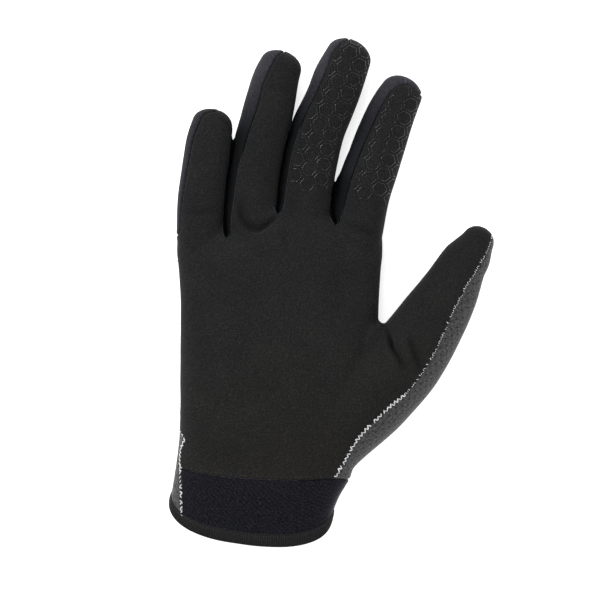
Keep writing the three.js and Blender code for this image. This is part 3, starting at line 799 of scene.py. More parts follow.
def face_sums(bm, value, slack=0.06):
    """For each face, the sum of a field over its corners, with what is close to zero left out."""
    value = np.where(np.abs(value) < slack, 0, value)
    corners = np.array([vert.index for face in bm.faces for vert in face.verts])
    sizes = np.array([len(face.verts) for face in bm.faces])
    starts = np.concatenate([[0], np.cumsum(sizes)[:-1]])
    return np.add.reduceat(value[corners], starts)


# The skin is cut along every seam, and each face is then given to its panel
skin = bmesh.new()
skin.from_mesh(skin_mesh)
bpy.data.meshes.remove(skin_mesh)
for field in (above_hem, palm_edge, cuff_edge, side_seam, strip_top, dividers):
    cut_where(skin, field)
    if field is above_hem:
        skin.verts.index_update()
        below = face_sums(skin, above_hem(table_points(skin))) < 0
        bmesh.ops.delete(skin, geom=[face for face, gone in zip(skin.faces, below) if gone], context="FACES")
skin.normal_update()
out_layer = skin.verts.layers.float_vector.new("out")
for vert in skin.verts:
    vert[out_layer] = vert.normal
skin.verts.index_update()
points = table_points(skin)
in_palm = face_sums(skin, palm_edge(points)) > 0
in_cuff = face_sums(skin, cuff_edge(points)) > 0
upper = face_sums(skin, side_seam(points)) > 0
band = face_sums(skin, strip_top(points)) < 0
left_of_divider = face_sums(skin, dividers(points)) < 0
middles = np.array([face.calc_center_median() for face in skin.faces]) / MM
middles[:, 0] += OFF_MIDDLE_X
which, across, past = nearest_finger(middles)
fingers = on_fingers(middles)
PALM, BACK, CUFF, LITTLE_SIDE = range(4)
region = np.full(len(middles), BACK)
region[upper & in_palm] = PALM
region[upper & in_cuff] = CUFF
right_band = upper & in_palm & band & fingers & (across > 0) & (which < INDEX)
strips = (upper & ~in_palm & fingers) | right_band
gap_number = which + (across > 0)
tips = (past > ON_TIP_FROM) & (which < INDEX)
gap_number[tips] = which[tips] + ~left_of_divider[tips]
gap_number = np.minimum(gap_number, INDEX)
region[strips] = LITTLE_SIDE + gap_number[strips]
LEAST_FACES = 60


def join_specks(bm, region):
    """Gives stray faces, cut off from their panel by a line that wavers, to the panel round them."""
    bm.faces.ensure_lookup_table()
    bm.faces.index_update()
    seen = np.zeros(len(region), bool)
    for face in bm.faces:
        if seen[face.index]:
            continue
        group, stack = [], [face]
        seen[face.index] = True
        edge_of = {}
        while stack:
            here = stack.pop()
            group.append(here.index)
            for edge in here.edges:
                for other in edge.link_faces:
                    if region[other.index] == region[here.index]:
                        if not seen[other.index]:
                            seen[other.index] = True
                            stack.append(other)
                    else:
                        edge_of[region[other.index]] = edge_of.get(region[other.index], 0) + 1
        if len(group) < LEAST_FACES and edge_of:
            region[group] = max(edge_of, key=edge_of.get)


join_specks(skin, region)

# The narrow pockets between the fingers, sunk where the strips fold down against the neighbouring finger
POCKET_DEPTH = 6.0
POCKET_WALL = 0.8
POCKET_RAMP = 3.0
POCKET_OPENS_OVER = 0.12
POCKET_OPENS_FROM = 0.3
POCKET_ENDS_OVER = 0.08
POCKET_UPPER = 3
for touching in POCKETS.values():
    line = curve_through(touching)
    gap, along = line_gap(line, points[:, :2])
    index = np.minimum((along * (len(line) - 1)).astype(int), len(line) - 2)
    reach = line[index + 1] - line[index]
    over = points[:, :2] - line[index]
    side = over[:, 0] * reach[:, 1] - over[:, 1] * reach[:, 0]
    wide = np.where(side < 0, POCKET_RAMP, POCKET_WALL)
    ends = np.clip(along / POCKET_OPENS_OVER, POCKET_OPENS_FROM, 1)
    ends = ends * np.clip((1 - along) / POCKET_ENDS_OVER, 0, 1) ** 0.5
    share = np.clip(1 - gap / wide, 0, 1)
    upper = np.clip((points[:, 2] - FINGER_Z + POCKET_UPPER) / POCKET_UPPER, 0, 1)
    lower = POCKET_DEPTH * ends * upper * share * share * (3 - 2 * share)
    for vert, low in zip(skin.verts, lower):
        vert.co.z -= float(low) * MM
skin.normal_update()
for vert in skin.verts:
    vert[out_layer] = vert.normal

# Distance from the nearest place where two fingers touch, which gives the strips painted shade: near black
# in the pockets, lighter with painted light further out
UNSHADED_FROM = 30.0
# A line along the index finger's left side, held this far off, that also darkens the strip beside it with
# painted shade
SHADED_BANK = [(0.9, 50.4), (2.6, 56.0), (4.6, 62.7), (7.5, 71.0), (10.5, 78.0)]
SHADED_BANK_OFF = 6.0
# At a pocket's end a painted highlight stands for the tucked-in cloth catching a little light
TUCK_REACH = 2.1
TUCK_LIGHT = 0.6
pocket_gap = line_gap(curve_through(SHADED_BANK), points[:, :2])[0] + SHADED_BANK_OFF
tuck_highlight = np.zeros(len(points))
for touching in POCKETS.values():
    gap = line_gap(curve_through(touching), points[:, :2])[0]
    pocket_gap = np.minimum(pocket_gap, gap)
    from_end = np.hypot(*(points[:, :2] - touching[-1]).T)
    shown = np.exp(-(from_end / TUCK_REACH) ** 2) * smoothstep(0.15, 0.6, gap)
    tuck_highlight = np.maximum(tuck_highlight, TUCK_LIGHT * shown)
# Painted shade in the folds and in the soft shaded places of the suede
painted_shade = np.zeros(len(points))
for fold_points, _, width, _, dark in FOLDS:
    gap, along = line_gap(curve_through(fold_points), points[:, :2])
    ends = np.sin(np.pi * np.clip(along, *FOLD_PART)) ** 0.8
    painted_shade = np.maximum(painted_shade, dark * ends * np.exp(-(gap / width) ** 2))
for x, y, reach_x, reach_y, dark in PAINTED_SHADES:
    over = ((points[:, 0] - x) / reach_x) ** 2 + ((points[:, 1] - y) / reach_y) ** 2
    painted_shade = np.maximum(painted_shade, dark * np.exp(-over))
unshaded_layer = skin.verts.layers.float.new("unshaded")
skin.verts.layers.float.new("seam_highlight")
tuck_highlight_layer = skin.verts.layers.float.new("tuck_highlight")
painted_shade_layer = skin.verts.layers.float.new("painted_shade")
for vert in skin.verts:
    vert[unshaded_layer] = min(1.0, pocket_gap[vert.index] / UNSHADED_FROM)
    vert[tuck_highlight_layer] = tuck_highlight[vert.index]
    vert[painted_shade_layer] = painted_shade[vert.index]

WALL = 1.1 * MM
# Beside a seam the cloth turns down over the roll's width, and stands a little proud behind it
ROLL_ROWS = (0.45, 1.1)
SEAM_DEPTH = 0.62
ROLL_WIDTH = 0.42
SWELL = 0.1
SWELL_AT = 1.3
SWELL_WIDTH = 0.8
HEM_MARGIN = 0.4
SEAM_HIGHLIGHT_REACH = 7.0
SEAM_HIGHLIGHT_WIDTH = 0.45
ON_SEAM = 0.2
HAIRLINE = 0.05


def seam_points(part):
    """Points close together on the panel's edges, without the hem."""
    found = []
    for edge in part.edges:
        if edge.is_boundary:
            first, second = edge.verts[0].co, edge.verts[1].co
            found += [first.lerp(second, step / 4) for step in range(4)]
    made = np.array(found) / MM
    made[:, 0] += OFF_MIDDLE_X
    return made[above_hem(made) > HEM_MARGIN]


def nearest_tree(points):
    """The points in a tree that finds the nearest of them."""
    tree = KDTree(len(points))
    for number, point in enumerate(points):
        tree.insert(point, number)
    tree.balance()
    return tree


def gap_to(tree, points, most=4.0):
    """Distance from each point to the nearest in the tree, up to a limit."""
    made = np.full(len(points), most)
    for number, point in enumerate(points):
        made[number] = min(most, tree.find(point)[2])
    return made


def panel(name, number, shape=None):
    """One panel cut from the skin, with its edges turned down into the seams."""
    part = skin.copy()
    part.faces.ensure_lookup_table()
    gone = [part.faces[index] for index in np.flatnonzero(region != number)]
    bmesh.ops.delete(part, geom=gone, context="FACES")
    tree = nearest_tree(seam_points(part))
    for row in ROLL_ROWS:
        cut_where(part, lambda points: gap_to(tree, points) - row)
    part.verts.index_update()
    points = table_points(part)
    gap = gap_to(tree, points)
    depth = SEAM_DEPTH * np.exp(-(gap / ROLL_WIDTH) ** 2)
    depth -= SWELL * np.exp(-((gap - SWELL_AT) / SWELL_WIDTH) ** 2)
    if shape:
        depth = shape(points, depth)
    layer = part.verts.layers.float_vector["out"]
    unshaded = part.verts.layers.float["unshaded"]
    seam_highlight = part.verts.layers.float["seam_highlight"]
    tuck_highlights = part.verts.layers.float["tuck_highlight"]
    for vert, low in zip(part.verts, depth):
        vert.co -= vert[layer] * float(low) * MM
        # A paler line along the seams in the pockets: partly the suede's pale cut edge, partly a painted
        # highlight where the rolled edge catches light
        in_pocket = max(0.0, 1 - vert[unshaded] * UNSHADED_FROM / SEAM_HIGHLIGHT_REACH)
        vert[seam_highlight] = in_pocket ** 0.5 * math.exp(-(gap[vert.index] / SEAM_HIGHLIGHT_WIDTH) ** 2)
        # On the strips the painted highlight at the pockets' ends is added to the seam line
        if number >= LITTLE_SIDE:
            vert[seam_highlight] = max(vert[seam_highlight], vert[tuck_highlights])
    for vert in part.verts:
        if vert.is_boundary and gap[vert.index] < ON_SEAM:
            inward = sum((face.calc_center_median() - vert.co for face in vert.link_faces), Vector())
            vert.co += inward.normalized() * HAIRLINE * MM
    mesh = mesh_from(name, part)
    mesh.shade_smooth()
    piece = add_object(name, mesh)
    wall = piece.modifiers.new("wall", "SOLIDIFY")
    wall.thickness = WALL
    wall.offset = -1
    return piece


def plain_material(name, values):
    """A material with plain values on its shader."""
    material = bpy.data.materials.new(name)
    material.use_nodes = True
    for socket, value in values.items():
        material.node_tree.nodes["Principled BSDF"].inputs[socket].default_value = value
    return material


CLOTH_GLOSS = 0.12


def cloth(name, roughness, sheen, sheen_tint, sheen_roughness=0.4, gloss=CLOTH_GLOSS):
    """A cloth material; its colour is linked in afterwards."""
    return plain_material(name, {
        "Roughness": roughness, "Sheen Weight": sheen, "Sheen Tint": (*sheen_tint, 1),
        "Sheen Roughness": sheen_roughness, "Specular IOR Level": gloss,
    })


def add_node(material, kind, inputs=None, **settings):
    """A node with its settings; an input that is a socket is linked, any other is a value."""
    node = material.node_tree.nodes.new(kind)
    for name, value in settings.items():
        setattr(node, name, value)
    for name, value in (inputs or {}).items():
        if isinstance(value, bpy.types.NodeSocket):
            material.node_tree.links.new(value, node.inputs[name])
        else:
            node.inputs[name].default_value = value
    return node


def object_places(material):
    """Places in the piece's own metres."""
    return add_node(material, "ShaderNodeTexCoord").outputs["Object"]


def grain(material, scale, detail=2, roughness=0.5):
    """Fine even noise, so many waves to the metre."""
    inputs = {"Vector": object_places(material), "Scale": scale, "Detail": detail, "Roughness": roughness}
    return add_node(material, "ShaderNodeTexNoise", inputs).outputs["Fac"]


def twill(material, scale, distortion, low, high):
    """The slanting lines of a twill weave, and the shades they give the cloth."""
    lines = add_node(
        material, "ShaderNodeTexWave",
        {"Vector": object_places(material), "Scale": scale, "Distortion": distortion, "Detail": 1},
        bands_direction="DIAGONAL",
    ).outputs["Fac"]
    return lines, add_ramp(material, lines, low, high)


def stored(material, name):
    """A value that the piece's corners carry."""
    return add_node(material, "ShaderNodeAttribute", attribute_name=name).outputs["Fac"]


def add_ramp(material, value, *stops):
    """A colour ramp from places and colours."""
    node = add_node(material, "ShaderNodeValToRGB", {"Fac": value})
    while len(node.color_ramp.elements) < len(stops):
        node.color_ramp.elements.new(0.5)
    for element, (place, colour) in zip(node.color_ramp.elements, stops):
        element.position = place
        element.color = (*colour, 1)
    return node.outputs["Color"]


def mixed(material, blend, share, first, second):
    """Two colours mixed; a socket or a plain colour may stand for each."""
    node = add_node(material, "ShaderNodeMix", {"Factor": share}, data_type="RGBA", blend_type=blend)
    for socket, value in ((node.inputs[6], first), (node.inputs[7], second)):
        if isinstance(value, bpy.types.NodeSocket):
            material.node_tree.links.new(value, socket)
        else:
            socket.default_value = (*value, 1)
    return node.outputs[2]


def finish_cloth(material, colour, height, strength, depth):
    """Links the colour and the raised grain to the shader."""
    shader = material.node_tree.nodes["Principled BSDF"]
    material.node_tree.links.new(colour, shader.inputs["Base Color"])
    bump = add_node(material, "ShaderNodeBump", {"Strength": strength, "Distance": depth, "Height": height})
    material.node_tree.links.new(bump.outputs["Normal"], shader.inputs["Normal"])


LAP = 0.38
LAP_WIDTH = 1.3


def lap_over_cuff(points, depth):
    """The suede's lower edge lies raised on the cuff instead of turning down."""
    near = np.exp(-(line_gap(cuff_line, points[:, :2])[0] / LAP_WIDTH) ** 2)
    return depth * (1 - near) - LAP * near


palm = panel("palm_panel_suede", PALM, lap_over_cuff)
suede = cloth("suede", 0.95, 0.07, (0.85, 0.87, 0.92))
flecks = grain(suede, 1600, roughness=0.7)
fibres = add_ramp(
    suede, flecks,
    (0.33, (0.0085, 0.0086, 0.0086)), (0.52, (0.0142, 0.0143, 0.0141)), (0.71, (0.0290, 0.0290, 0.0285)),
)
mottle = add_ramp(suede, grain(suede, 60, detail=3), (0.3, (0.82, 0.82, 0.84)), (0.7, (1.0, 1.0, 1.0)))
fibres = mixed(suede, "MULTIPLY", 1.0, fibres, mottle)
# Towards the heel of the hand the suede has grown a little browner
aslant = add_node(
    suede, "ShaderNodeVectorMath", {0: object_places(suede), 1: (0.3, -0.95, 0)}, operation="DOT_PRODUCT",
)
aged = add_node(
    suede, "ShaderNodeMapRange", {"Value": aslant.outputs["Value"], "From Min": 0.0, "From Max": 0.1},
)
fibres = mixed(suede, "MULTIPLY", aged.outputs["Result"], fibres, (1.04, 0.98, 0.90))
# Paler seam line in the pockets: the pale cut edge with a painted highlight
fibres = mixed(suede, "MIX", stored(suede, "seam_highlight"), fibres, (0.022, 0.024, 0.028))
# Painted shade in the folds and the soft shaded places
fibres = mixed(suede, "MIX", stored(suede, "painted_shade"), fibres, (0.0015, 0.0015, 0.0017))
finish_cloth(suede, fibres, flecks, 0.35, 0.0003)
palm.data.materials.append(suede)
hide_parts("palm_panel")
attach(palm, "root")

# Back panel
# One piece of grey melange knit with small punched air holes covers the back of the hand, the backs of
# the fingers and the outer side of the thumb. It meets the suede in the side seams all round.
back = panel("back_panel_knit", BACK)
bpy.context.view_layer.objects.active = back
back.select_set(True)
bpy.ops.object.mode_set(mode="EDIT")
bpy.ops.mesh.select_all(action="SELECT")
bpy.ops.uv.unwrap(method="MINIMUM_STRETCH", margin=0, iterations=3)
bpy.ops.object.mode_set(mode="OBJECT")
back.select_set(False)


def scale_map(piece):
    """Turns and scales the unwrapped map: it then reads in millimetres, its second axis along the hand."""
    mesh = piece.data
    layer = mesh.uv_layers.active.data
    flat = np.empty(len(layer) * 2)
    layer.foreach_get("uv", flat)
    spots = flat.reshape(-1, 2)
    corners = np.empty(len(mesh.loops), int)
    mesh.loops.foreach_get("vertex_index", corners)
    coords = np.empty(len(mesh.vertices) * 3)
    mesh.vertices.foreach_get("co", coords)
    coords = coords.reshape(-1, 3)[corners] / MM
    step = spots[1:] - spots[:-1]
    reach = coords[1:] - coords[:-1]
    long = np.linalg.norm(step, axis=1) > 0
    size = np.median(np.linalg.norm(reach[long], axis=1) / np.linalg.norm(step[long], axis=1))
    middle = (np.abs(coords[:, 1]) < 50) & (coords[:, 0] < 10)
    aim = np.linalg.lstsq(
        np.column_stack([spots[middle], np.ones(middle.sum())]), coords[middle, 1], rcond=None,
    )[0][:2]
    aim /= np.linalg.norm(aim)
    turned = np.column_stack([spots @ (aim[1], -aim[0]), spots @ aim]) * size
    layer.foreach_set("uv", turned.ravel())


scale_map(back)
knit = cloth("grey_knit", 0.85, 0.24, (1.0, 1.0, 1.0), 0.35)
map_mm = add_node(knit, "ShaderNodeTexCoord").outputs["UV"]
yarns = add_node(knit, "ShaderNodeMapping", {"Vector": map_mm, "Scale": (1.7, 0.8, 1.0)})
melange = add_node(
    knit, "ShaderNodeTexNoise",
    {"Vector": yarns.outputs["Vector"], "Scale": 1.0, "Detail": 3, "Roughness": 0.65}, noise_dimensions="2D",
)
grey = add_ramp(
    knit, melange.outputs["Fac"],
    (0.30, (0.030, 0.030, 0.031)), (0.50, (0.052, 0.052, 0.053)), (0.70, (0.095, 0.095, 0.097)),
)
HOLE_PITCH = 2.7
holes_at = add_node(
    knit, "ShaderNodeMapping",
    {"Vector": map_mm, "Rotation": (0, 0, math.radians(45)), "Scale": (1 / HOLE_PITCH, 1 / HOLE_PITCH, 1.0)},
)
holes = add_node(
    knit, "ShaderNodeTexVoronoi", {"Vector": holes_at.outputs["Vector"], "Scale": 1.0, "Randomness": 0.12},
    voronoi_dimensions="2D",
)
open_share = add_node(
    knit, "ShaderNodeMapRange", {"Value": holes.outputs["Distance"], "From Min": 0.10, "From Max": 0.24},
)
solid_cloth = open_share.outputs["Result"]
grey = mixed(knit, "MIX", solid_cloth, (0.024, 0.024, 0.025), grey)
relief = add_node(knit, "ShaderNodeMath", {0: melange.outputs["Fac"], 1: solid_cloth}, operation="MULTIPLY")
finish_cloth(knit, grey, relief.outputs["Value"], 0.7, 0.0004)
back.data.materials.append(knit)
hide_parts("back_panel")
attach(back, "root")

# Wrist cuff
# The palm side of the wrist is a band of brushed navy-black knit. Its upper edge runs under the suede,
# and its ends are sewn to the back panel.
cuff = panel("wrist_cuff_cloth", CUFF)
brushed = cloth("cuff_cloth", 0.9, 0.34, (0.80, 0.76, 0.95), 0.3)
nap = grain(brushed, 1900, roughness=0.7)
blue = add_ramp(
    brushed, nap,
    (0.36, (0.0014, 0.0015, 0.0028)), (0.52, (0.0055, 0.0057, 0.0090)), (0.68, (0.0215, 0.0220, 0.0300)),
)
lines, shades = twill(brushed, 260, 1.5, (0.2, (0.8, 0.8, 0.82)), (0.8, (1.15, 1.15, 1.15)))
blue = mixed(brushed, "MULTIPLY", 1.0, blue, shades)
finish_cloth(brushed, blue, nap, 0.4, 0.0003)
cuff.data.materials.append(brushed)
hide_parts("wrist_cuff")
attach(cuff, "root")

# Side strips
# Four strips of smooth navy stretch cloth form the sides of the fingers: one on the outer side of the
# little finger and one folded round between each pair of neighbours.
STRIPS = ["little_side_strip", "little_ring_strip", "ring_middle_strip", "middle_index_strip"]
navy = cloth("navy_stretch", 0.8, 0.04, (0.95, 0.90, 1.0), 0.3)
lines, shades = twill(navy, 330, 0.6, (0.1, (0.78, 0.78, 0.78)), (0.9, (1.0, 1.0, 1.0)))
# Painted shade on the strips: near black where two fingers touch, lighter further out by the stored distance
pocket_shaded = add_ramp(
    navy, stored(navy, "unshaded"),
    (0.05, (0.0010, 0.0015, 0.0019)), (0.20, (0.0026, 0.0034, 0.0042)), (0.37, (0.0090, 0.0100, 0.0128)),
    (0.75, (0.0212, 0.0208, 0.0260)), (1.0, (0.0312, 0.0300, 0.0370)),
)
weave = mixed(navy, "MULTIPLY", 1.0, pocket_shaded, shades)
speckle = add_ramp(navy, grain(navy, 900), (0.35, (0.75, 0.75, 0.75)), (0.65, (1.2, 1.2, 1.2)))
weave = mixed(navy, "MULTIPLY", 1.0, weave, speckle)
# Paler seam line in the pockets: the pale cut edge with a painted highlight, and painted highlight at the
# pockets' ends
weave = mixed(navy, "MIX", stored(navy, "seam_highlight"), weave, (0.012, 0.015, 0.018))
finish_cloth(navy, weave, lines, 0.25, 0.0002)
for number, node in enumerate(STRIPS):
    strip = panel(node + "_cloth", LITTLE_SIDE + number)
    strip.data.materials.append(navy)
    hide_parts(node)
    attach(strip, "root")

# Hem binding
# A black grosgrain tape is folded over the raw edge of the wrist opening, outside and inside, and held
# by one row of small stitches in a groove below its upper edge. Ribs run across the tape.
RIBS = 232
RIB_HEIGHT = 0.34
HEM_SMOOTHING = 4
NORMAL_SMOOTHING = 8
TAPE_SMOOTHING = 3
# distance up the sleeve from the hem, height above the cloth, share of the rib height
BINDING_PROFILE = [
    (5.5, -0.15, 0), (5.5, 0.18, 0), (5.3, 0.42, 0), (4.85, 0.46, 0.5), (4.6, 0.28, 0), (4.3, 0.28, 0),
    (4.05, 0.46, 0.5), (3.5, 0.52, 1), (2.2, 0.58, 1), (0.9, 0.6, 1), (0.15, 0.5, 1), (-0.3, 0.15, 1),
    (-0.5, -0.55, 0.5), (-0.3, -1.25, 0), (0.1, -1.6, 0), (2.6, -1.65, 0), (5.1, -1.6, 0), (5.3, -1.4, 0),
    (5.3, -1.12, 0),
]
skin_tree = BVHTree.FromBMesh(skin)


def hem_loop():
    """The corners round the wrist opening in order."""
    edges = [edge for edge in skin.edges if edge.is_boundary]
    here = edges[0].verts[0]
    loop = [here]
    used = set()
    while True:
        onward = [edge for edge in here.link_edges if edge.is_boundary and edge not in used]
        if not onward:
            return loop[:-1] if loop[-1] is loop[0] else loop
        used.add(onward[0])
        here = onward[0].other_vert(here)
        loop.append(here)


def length_along(line):
    """Distance along a line up to each of its points."""
    return np.concatenate([[0], np.cumsum(np.linalg.norm(np.diff(line[:, :3], axis=0), axis=1))])


def rows_at(points, length, wanted):
    """The rows of a line at some distances along it."""
    return np.column_stack([np.interp(wanted, length, column) for column in points.T])


def even_loop(points, count):
    """Points at equal distances round a closed line."""
    closed = np.vstack([points, points[:1]])
    length = length_along(closed)
    return rows_at(closed, length, np.linspace(0, length[-1], count, endpoint=False))


def smooth_loop(values, reach):
    """A running mean round a closed line."""
    return sum(np.roll(values, step, axis=0) for step in range(-reach, reach + 1)) / (2 * reach + 1)


hem = hem_loop()
hem_rows = np.array([[*vert.co, *vert.normal] for vert in hem])
hem_rows = smooth_loop(even_loop(hem_rows, 2 * RIBS), HEM_SMOOTHING)
hem_places = hem_rows[:, :3]
hem_normals = smooth_loop(hem_rows[:, 3:], NORMAL_SMOOTHING)
hem_normals[:, 1] = 0
hem_normals /= np.linalg.norm(hem_normals, axis=1)[:, None]


def binding_row(distance, height, share):
    """The tape's points at one place of its profile, all round the wrist."""
    spots = []
    for place in hem_places:
        start = Vector(place)
        if distance > 0:
            start = skin_tree.find_nearest(start + Vector((0, distance * MM, 0)))[0]
        else:
            start.y += distance * MM
        spots.append(start)
    spots = smooth_loop(np.array(spots), TAPE_SMOOTHING)
    ribs = np.where(np.arange(len(spots)) % 2 == 0, RIB_HEIGHT, 0) * share
    spots = spots + hem_normals * ((height + ribs) * MM)[:, None]
    spots[:, 2] = np.maximum(spots[:, 2], 0)
    return spots


def round_wrist(row):
    """Turns a row of points into a section to carry a circle through."""
    return lambda turn: Vector(row[round(turn / math.tau * len(row)) % len(row)])


TAPE_POINTS_MEET = 0.00001
tape = bmesh.new()
tape.verts.layers.float.new("turn")
rows = [round_wrist(binding_row(*row)) for row in BINDING_PROFILE]
carry_circle(tape, rows + rows[:1], sides=2 * RIBS, ends=False)
bmesh.ops.remove_doubles(tape, verts=tape.verts, dist=TAPE_POINTS_MEET)
turn = tape.verts.layers.float["turn"]
# 1 on the ribs, 0 between them, where the tape gets painted shade
unshaded_rib = tape.verts.layers.float.new("unshaded_rib")
for vert in tape.verts:
    vert[unshaded_rib] = (round(vert[turn] / math.tau * 2 * RIBS) + 1) % 2
bmesh.ops.recalc_face_normals(tape, faces=tape.faces)
tape_mesh = mesh_from("hem_binding_tape", tape)
tape_mesh.shade_smooth()
binding = add_object("hem_binding_tape", tape_mesh)
ribbed = cloth("ribbed_tape", 0.8, 0.1, (0.95, 0.95, 0.95), 0.35)
threads = grain(ribbed, 1300)
black = add_ramp(ribbed, threads, (0.35, (0.0140, 0.0140, 0.0140)), (0.65, (0.0300, 0.0300, 0.0295)))
# Painted shade in the hollows between the ribs
black = mixed(ribbed, "MIX", stored(ribbed, "unshaded_rib"), (0.0028, 0.0028, 0.0029), black)
finish_cloth(ribbed, black, threads, 0.3, 0.0002)
tape_mesh.materials.append(ribbed)
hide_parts("hem_binding")
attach(binding, "root")

# Sewing thread
# A row of dark grey topstitches holds the suede's lower edge to the cuff, a finer row of lighter ones
# lies in the groove of the binding, and a few pale ones close the index fingertip. Each stitch is a
# short thread lying on the cloth.
TOPSTITCH_PITCH = 2.35
TOPSTITCH_LENGTH = 1.5
TOPSTITCH_WIDTH = 0.42
TOPSTITCH_ABOVE = 1.15
TOPSTITCH_LIFT = 0.05
TOPSTITCHES_FROM_X = -69.5
TOPSTITCHES_TO_X = THUMB_SEAM[-1][0] - 0.5
BINDING_STITCH_LENGTH = 0.95
BINDING_STITCH_WIDTH = 0.36
BINDING_STITCH_EVERY = 4
BINDING_STITCH_UP = 4.45
BINDING_STITCH_HEIGHT = 0.34
INDEX_TIP_JOIN_X = 34.8
INDEX_TIP_JOIN_Y = (99.2, 100.1, 101.0, 101.8)
INDEX_TIP_STITCH_LENGTH = 1.0
INDEX_TIP_STITCH_WIDTH = 0.34
STITCH_FLATNESS = 0.8
palm_tree = BVHTree.FromObject(palm, bpy.context.evaluated_depsgraph_get())


def add_stitch(bm, middle, along, out, length, width):
    """One stitch: a small rounded spindle lying along a direction on the cloth."""
    made = bmesh.ops.create_uvsphere(bm, u_segments=6, v_segments=4, radius=0.5)["verts"]
    along = along.normalized()
    side = out.cross(along).normalized()
    up = along.cross(side)
    for vert in made:
        x, y, z = vert.co
        vert.co = middle + (side * x * width + up * y * width * STITCH_FLATNESS + along * z * length) * MM


def onto(tree, x, y):
    """The spot on a piece's upper side at a place of the tables, with the way it faces."""
    start = Vector(((x - OFF_MIDDLE_X) * MM, y * MM, 0.1))
    spot, normal = tree.ray_cast(start, Vector((0, 0, -1)))[:2]
    return spot, normal


def even_line(points, pitch):
    """Points a pitch apart on an open line, with the direction at each."""
    points = np.asarray(points, float)
    length = length_along(points)
    spots = rows_at(points, length, np.arange(pitch / 2, length[-1], pitch))
    return spots, np.gradient(spots, axis=0)


def new_piece(name, bm, material):
    """A finished piece from a bmesh."""
    mesh = mesh_from(name, bm)
    mesh.shade_smooth()
    mesh.materials.append(material)
    piece = add_object(name, mesh)
    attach(piece, "root")


TWIST_DARKNESS = 0.55


def thread(name, colour, roughness, sheen, gloss=CLOTH_GLOSS):
    """Twisted sewing thread: a little lighter and darker along its length."""
    material = cloth(name, roughness, sheen, (1, 1, 1), gloss=gloss)
    twist = grain(material, 2200, detail=1)
    dark = tuple(value * TWIST_DARKNESS for value in colour)
    shades = add_ramp(material, twist, (0.35, dark), (0.65, colour))
    finish_cloth(material, shades, twist, 0.3, 0.0001)
    return material


topstitches = bmesh.new()
seam_row = [(x, y + TOPSTITCH_ABOVE) for x, y in cuff_line if TOPSTITCHES_FROM_X < x < TOPSTITCHES_TO_X]
for (x, y), (way_x, way_y) in zip(*even_line(seam_row, TOPSTITCH_PITCH)):
    spot, normal = onto(palm_tree, x, y)
    if spot:
        along = Vector((way_x, way_y, 0))
        along -= normal * along.dot(normal)
        middle = spot + normal * TOPSTITCH_LIFT * MM
        add_stitch(topstitches, middle, along, normal, TOPSTITCH_LENGTH, TOPSTITCH_WIDTH)
grey_thread = thread("grey_thread", (0.034, 0.034, 0.033), 0.7, 0.06)
new_piece("cuff_topstitches", topstitches, grey_thread)

index_strip = bpy.data.objects[STRIPS[-1] + "_cloth"]
tip_tree = BVHTree.FromObject(index_strip, bpy.context.evaluated_depsgraph_get())
tip_join = bmesh.new()
for y in INDEX_TIP_JOIN_Y:
    spot, normal = onto(tip_tree, INDEX_TIP_JOIN_X, y)
    if spot:
        along = Vector((0, 1, 0)) - normal * normal.y
        add_stitch(tip_join, spot, along, normal, INDEX_TIP_STITCH_LENGTH, INDEX_TIP_STITCH_WIDTH)
pale_thread = thread("pale_thread", (0.15, 0.15, 0.16), 0.6, 0.1)
new_piece("index_tip_stitches", tip_join, pale_thread)

hem_stitches = bmesh.new()
groove = [Vector(spot) for spot in binding_row(BINDING_STITCH_UP, BINDING_STITCH_HEIGHT, 0)]
for number in range(0, len(groove), BINDING_STITCH_EVERY):
    along = groove[(number + 1) % len(groove)] - groove[number - 1]
    out = Vector(hem_normals[number])
    add_stitch(hem_stitches, groove[number], along, out, BINDING_STITCH_LENGTH, BINDING_STITCH_WIDTH)
light_thread = thread("light_thread", (0.055, 0.056, 0.058), 0.7, 0.06)
new_piece("binding_stitches", hem_stitches, light_thread)

# Silver overlock yarn
# The seams between suede and knit, outside the thumb and along the little finger's side of the hand, are
# overlocked with a bright reflective yarn that shows as small loops on the knit's edge.
LOOP_PITCH = 1.05
LOOP_LENGTH = 1.55
LOOP_WIDTH = 0.5
LOOP_HIDDEN_UNDER = -0.28
LOOP_LEAN = 0.75
# Near the wrist and on the hand's side the loops are thick, along the thumb they are finer
THICK_LOOP = 1.2
FINE_LOOP = 0.62
FINE_ABOVE_Y = -48
SHORTEST_RUN = 12
THUMB_YARN_X = 1.0
THUMB_YARN_Y = (-86.8, 27.0)
# Along the thumb the yarn lies to the right of a line in plan: a point on it, and its slope
THUMB_LINE = (12, -60, 0.62)
HAND_SIDE_X = -60
HAND_SIDE_END_Y = 20


def seam_runs(number_pairs):
    """The seams between panels, each as the corners along it in order."""
    edges = {}
    for edge in skin.edges:
        if len(edge.link_faces) == 2:
            pair = {region[face.index] for face in edge.link_faces}
            if pair in number_pairs:
                edges[edge] = True
    runs = []
    while edges:
        edge = next(iter(edges))
        del edges[edge]
        run = list(edge.verts)
        for end in (1, 0):
            while True:
                onward = [other for other in run[-1].link_edges if other in edges]
                if not onward:
                    break
                del edges[onward[0]]
                run.append(onward[0].other_vert(run[-1]))
            if end:
                run.reverse()
        runs.append(run)
    return runs


def wears_yarn(x, y):
    """Whether a place on the seam lies along the thumb or on the side of the hand."""
    line_x, line_y, slope = THUMB_LINE
    right = x > THUMB_YARN_X and x > line_x + (y - line_y) * slope
    at_thumb = right and THUMB_YARN_Y[0] < y < THUMB_YARN_Y[1]
    return at_thumb or (x < HAND_SIDE_X and y < HAND_SIDE_END_Y)


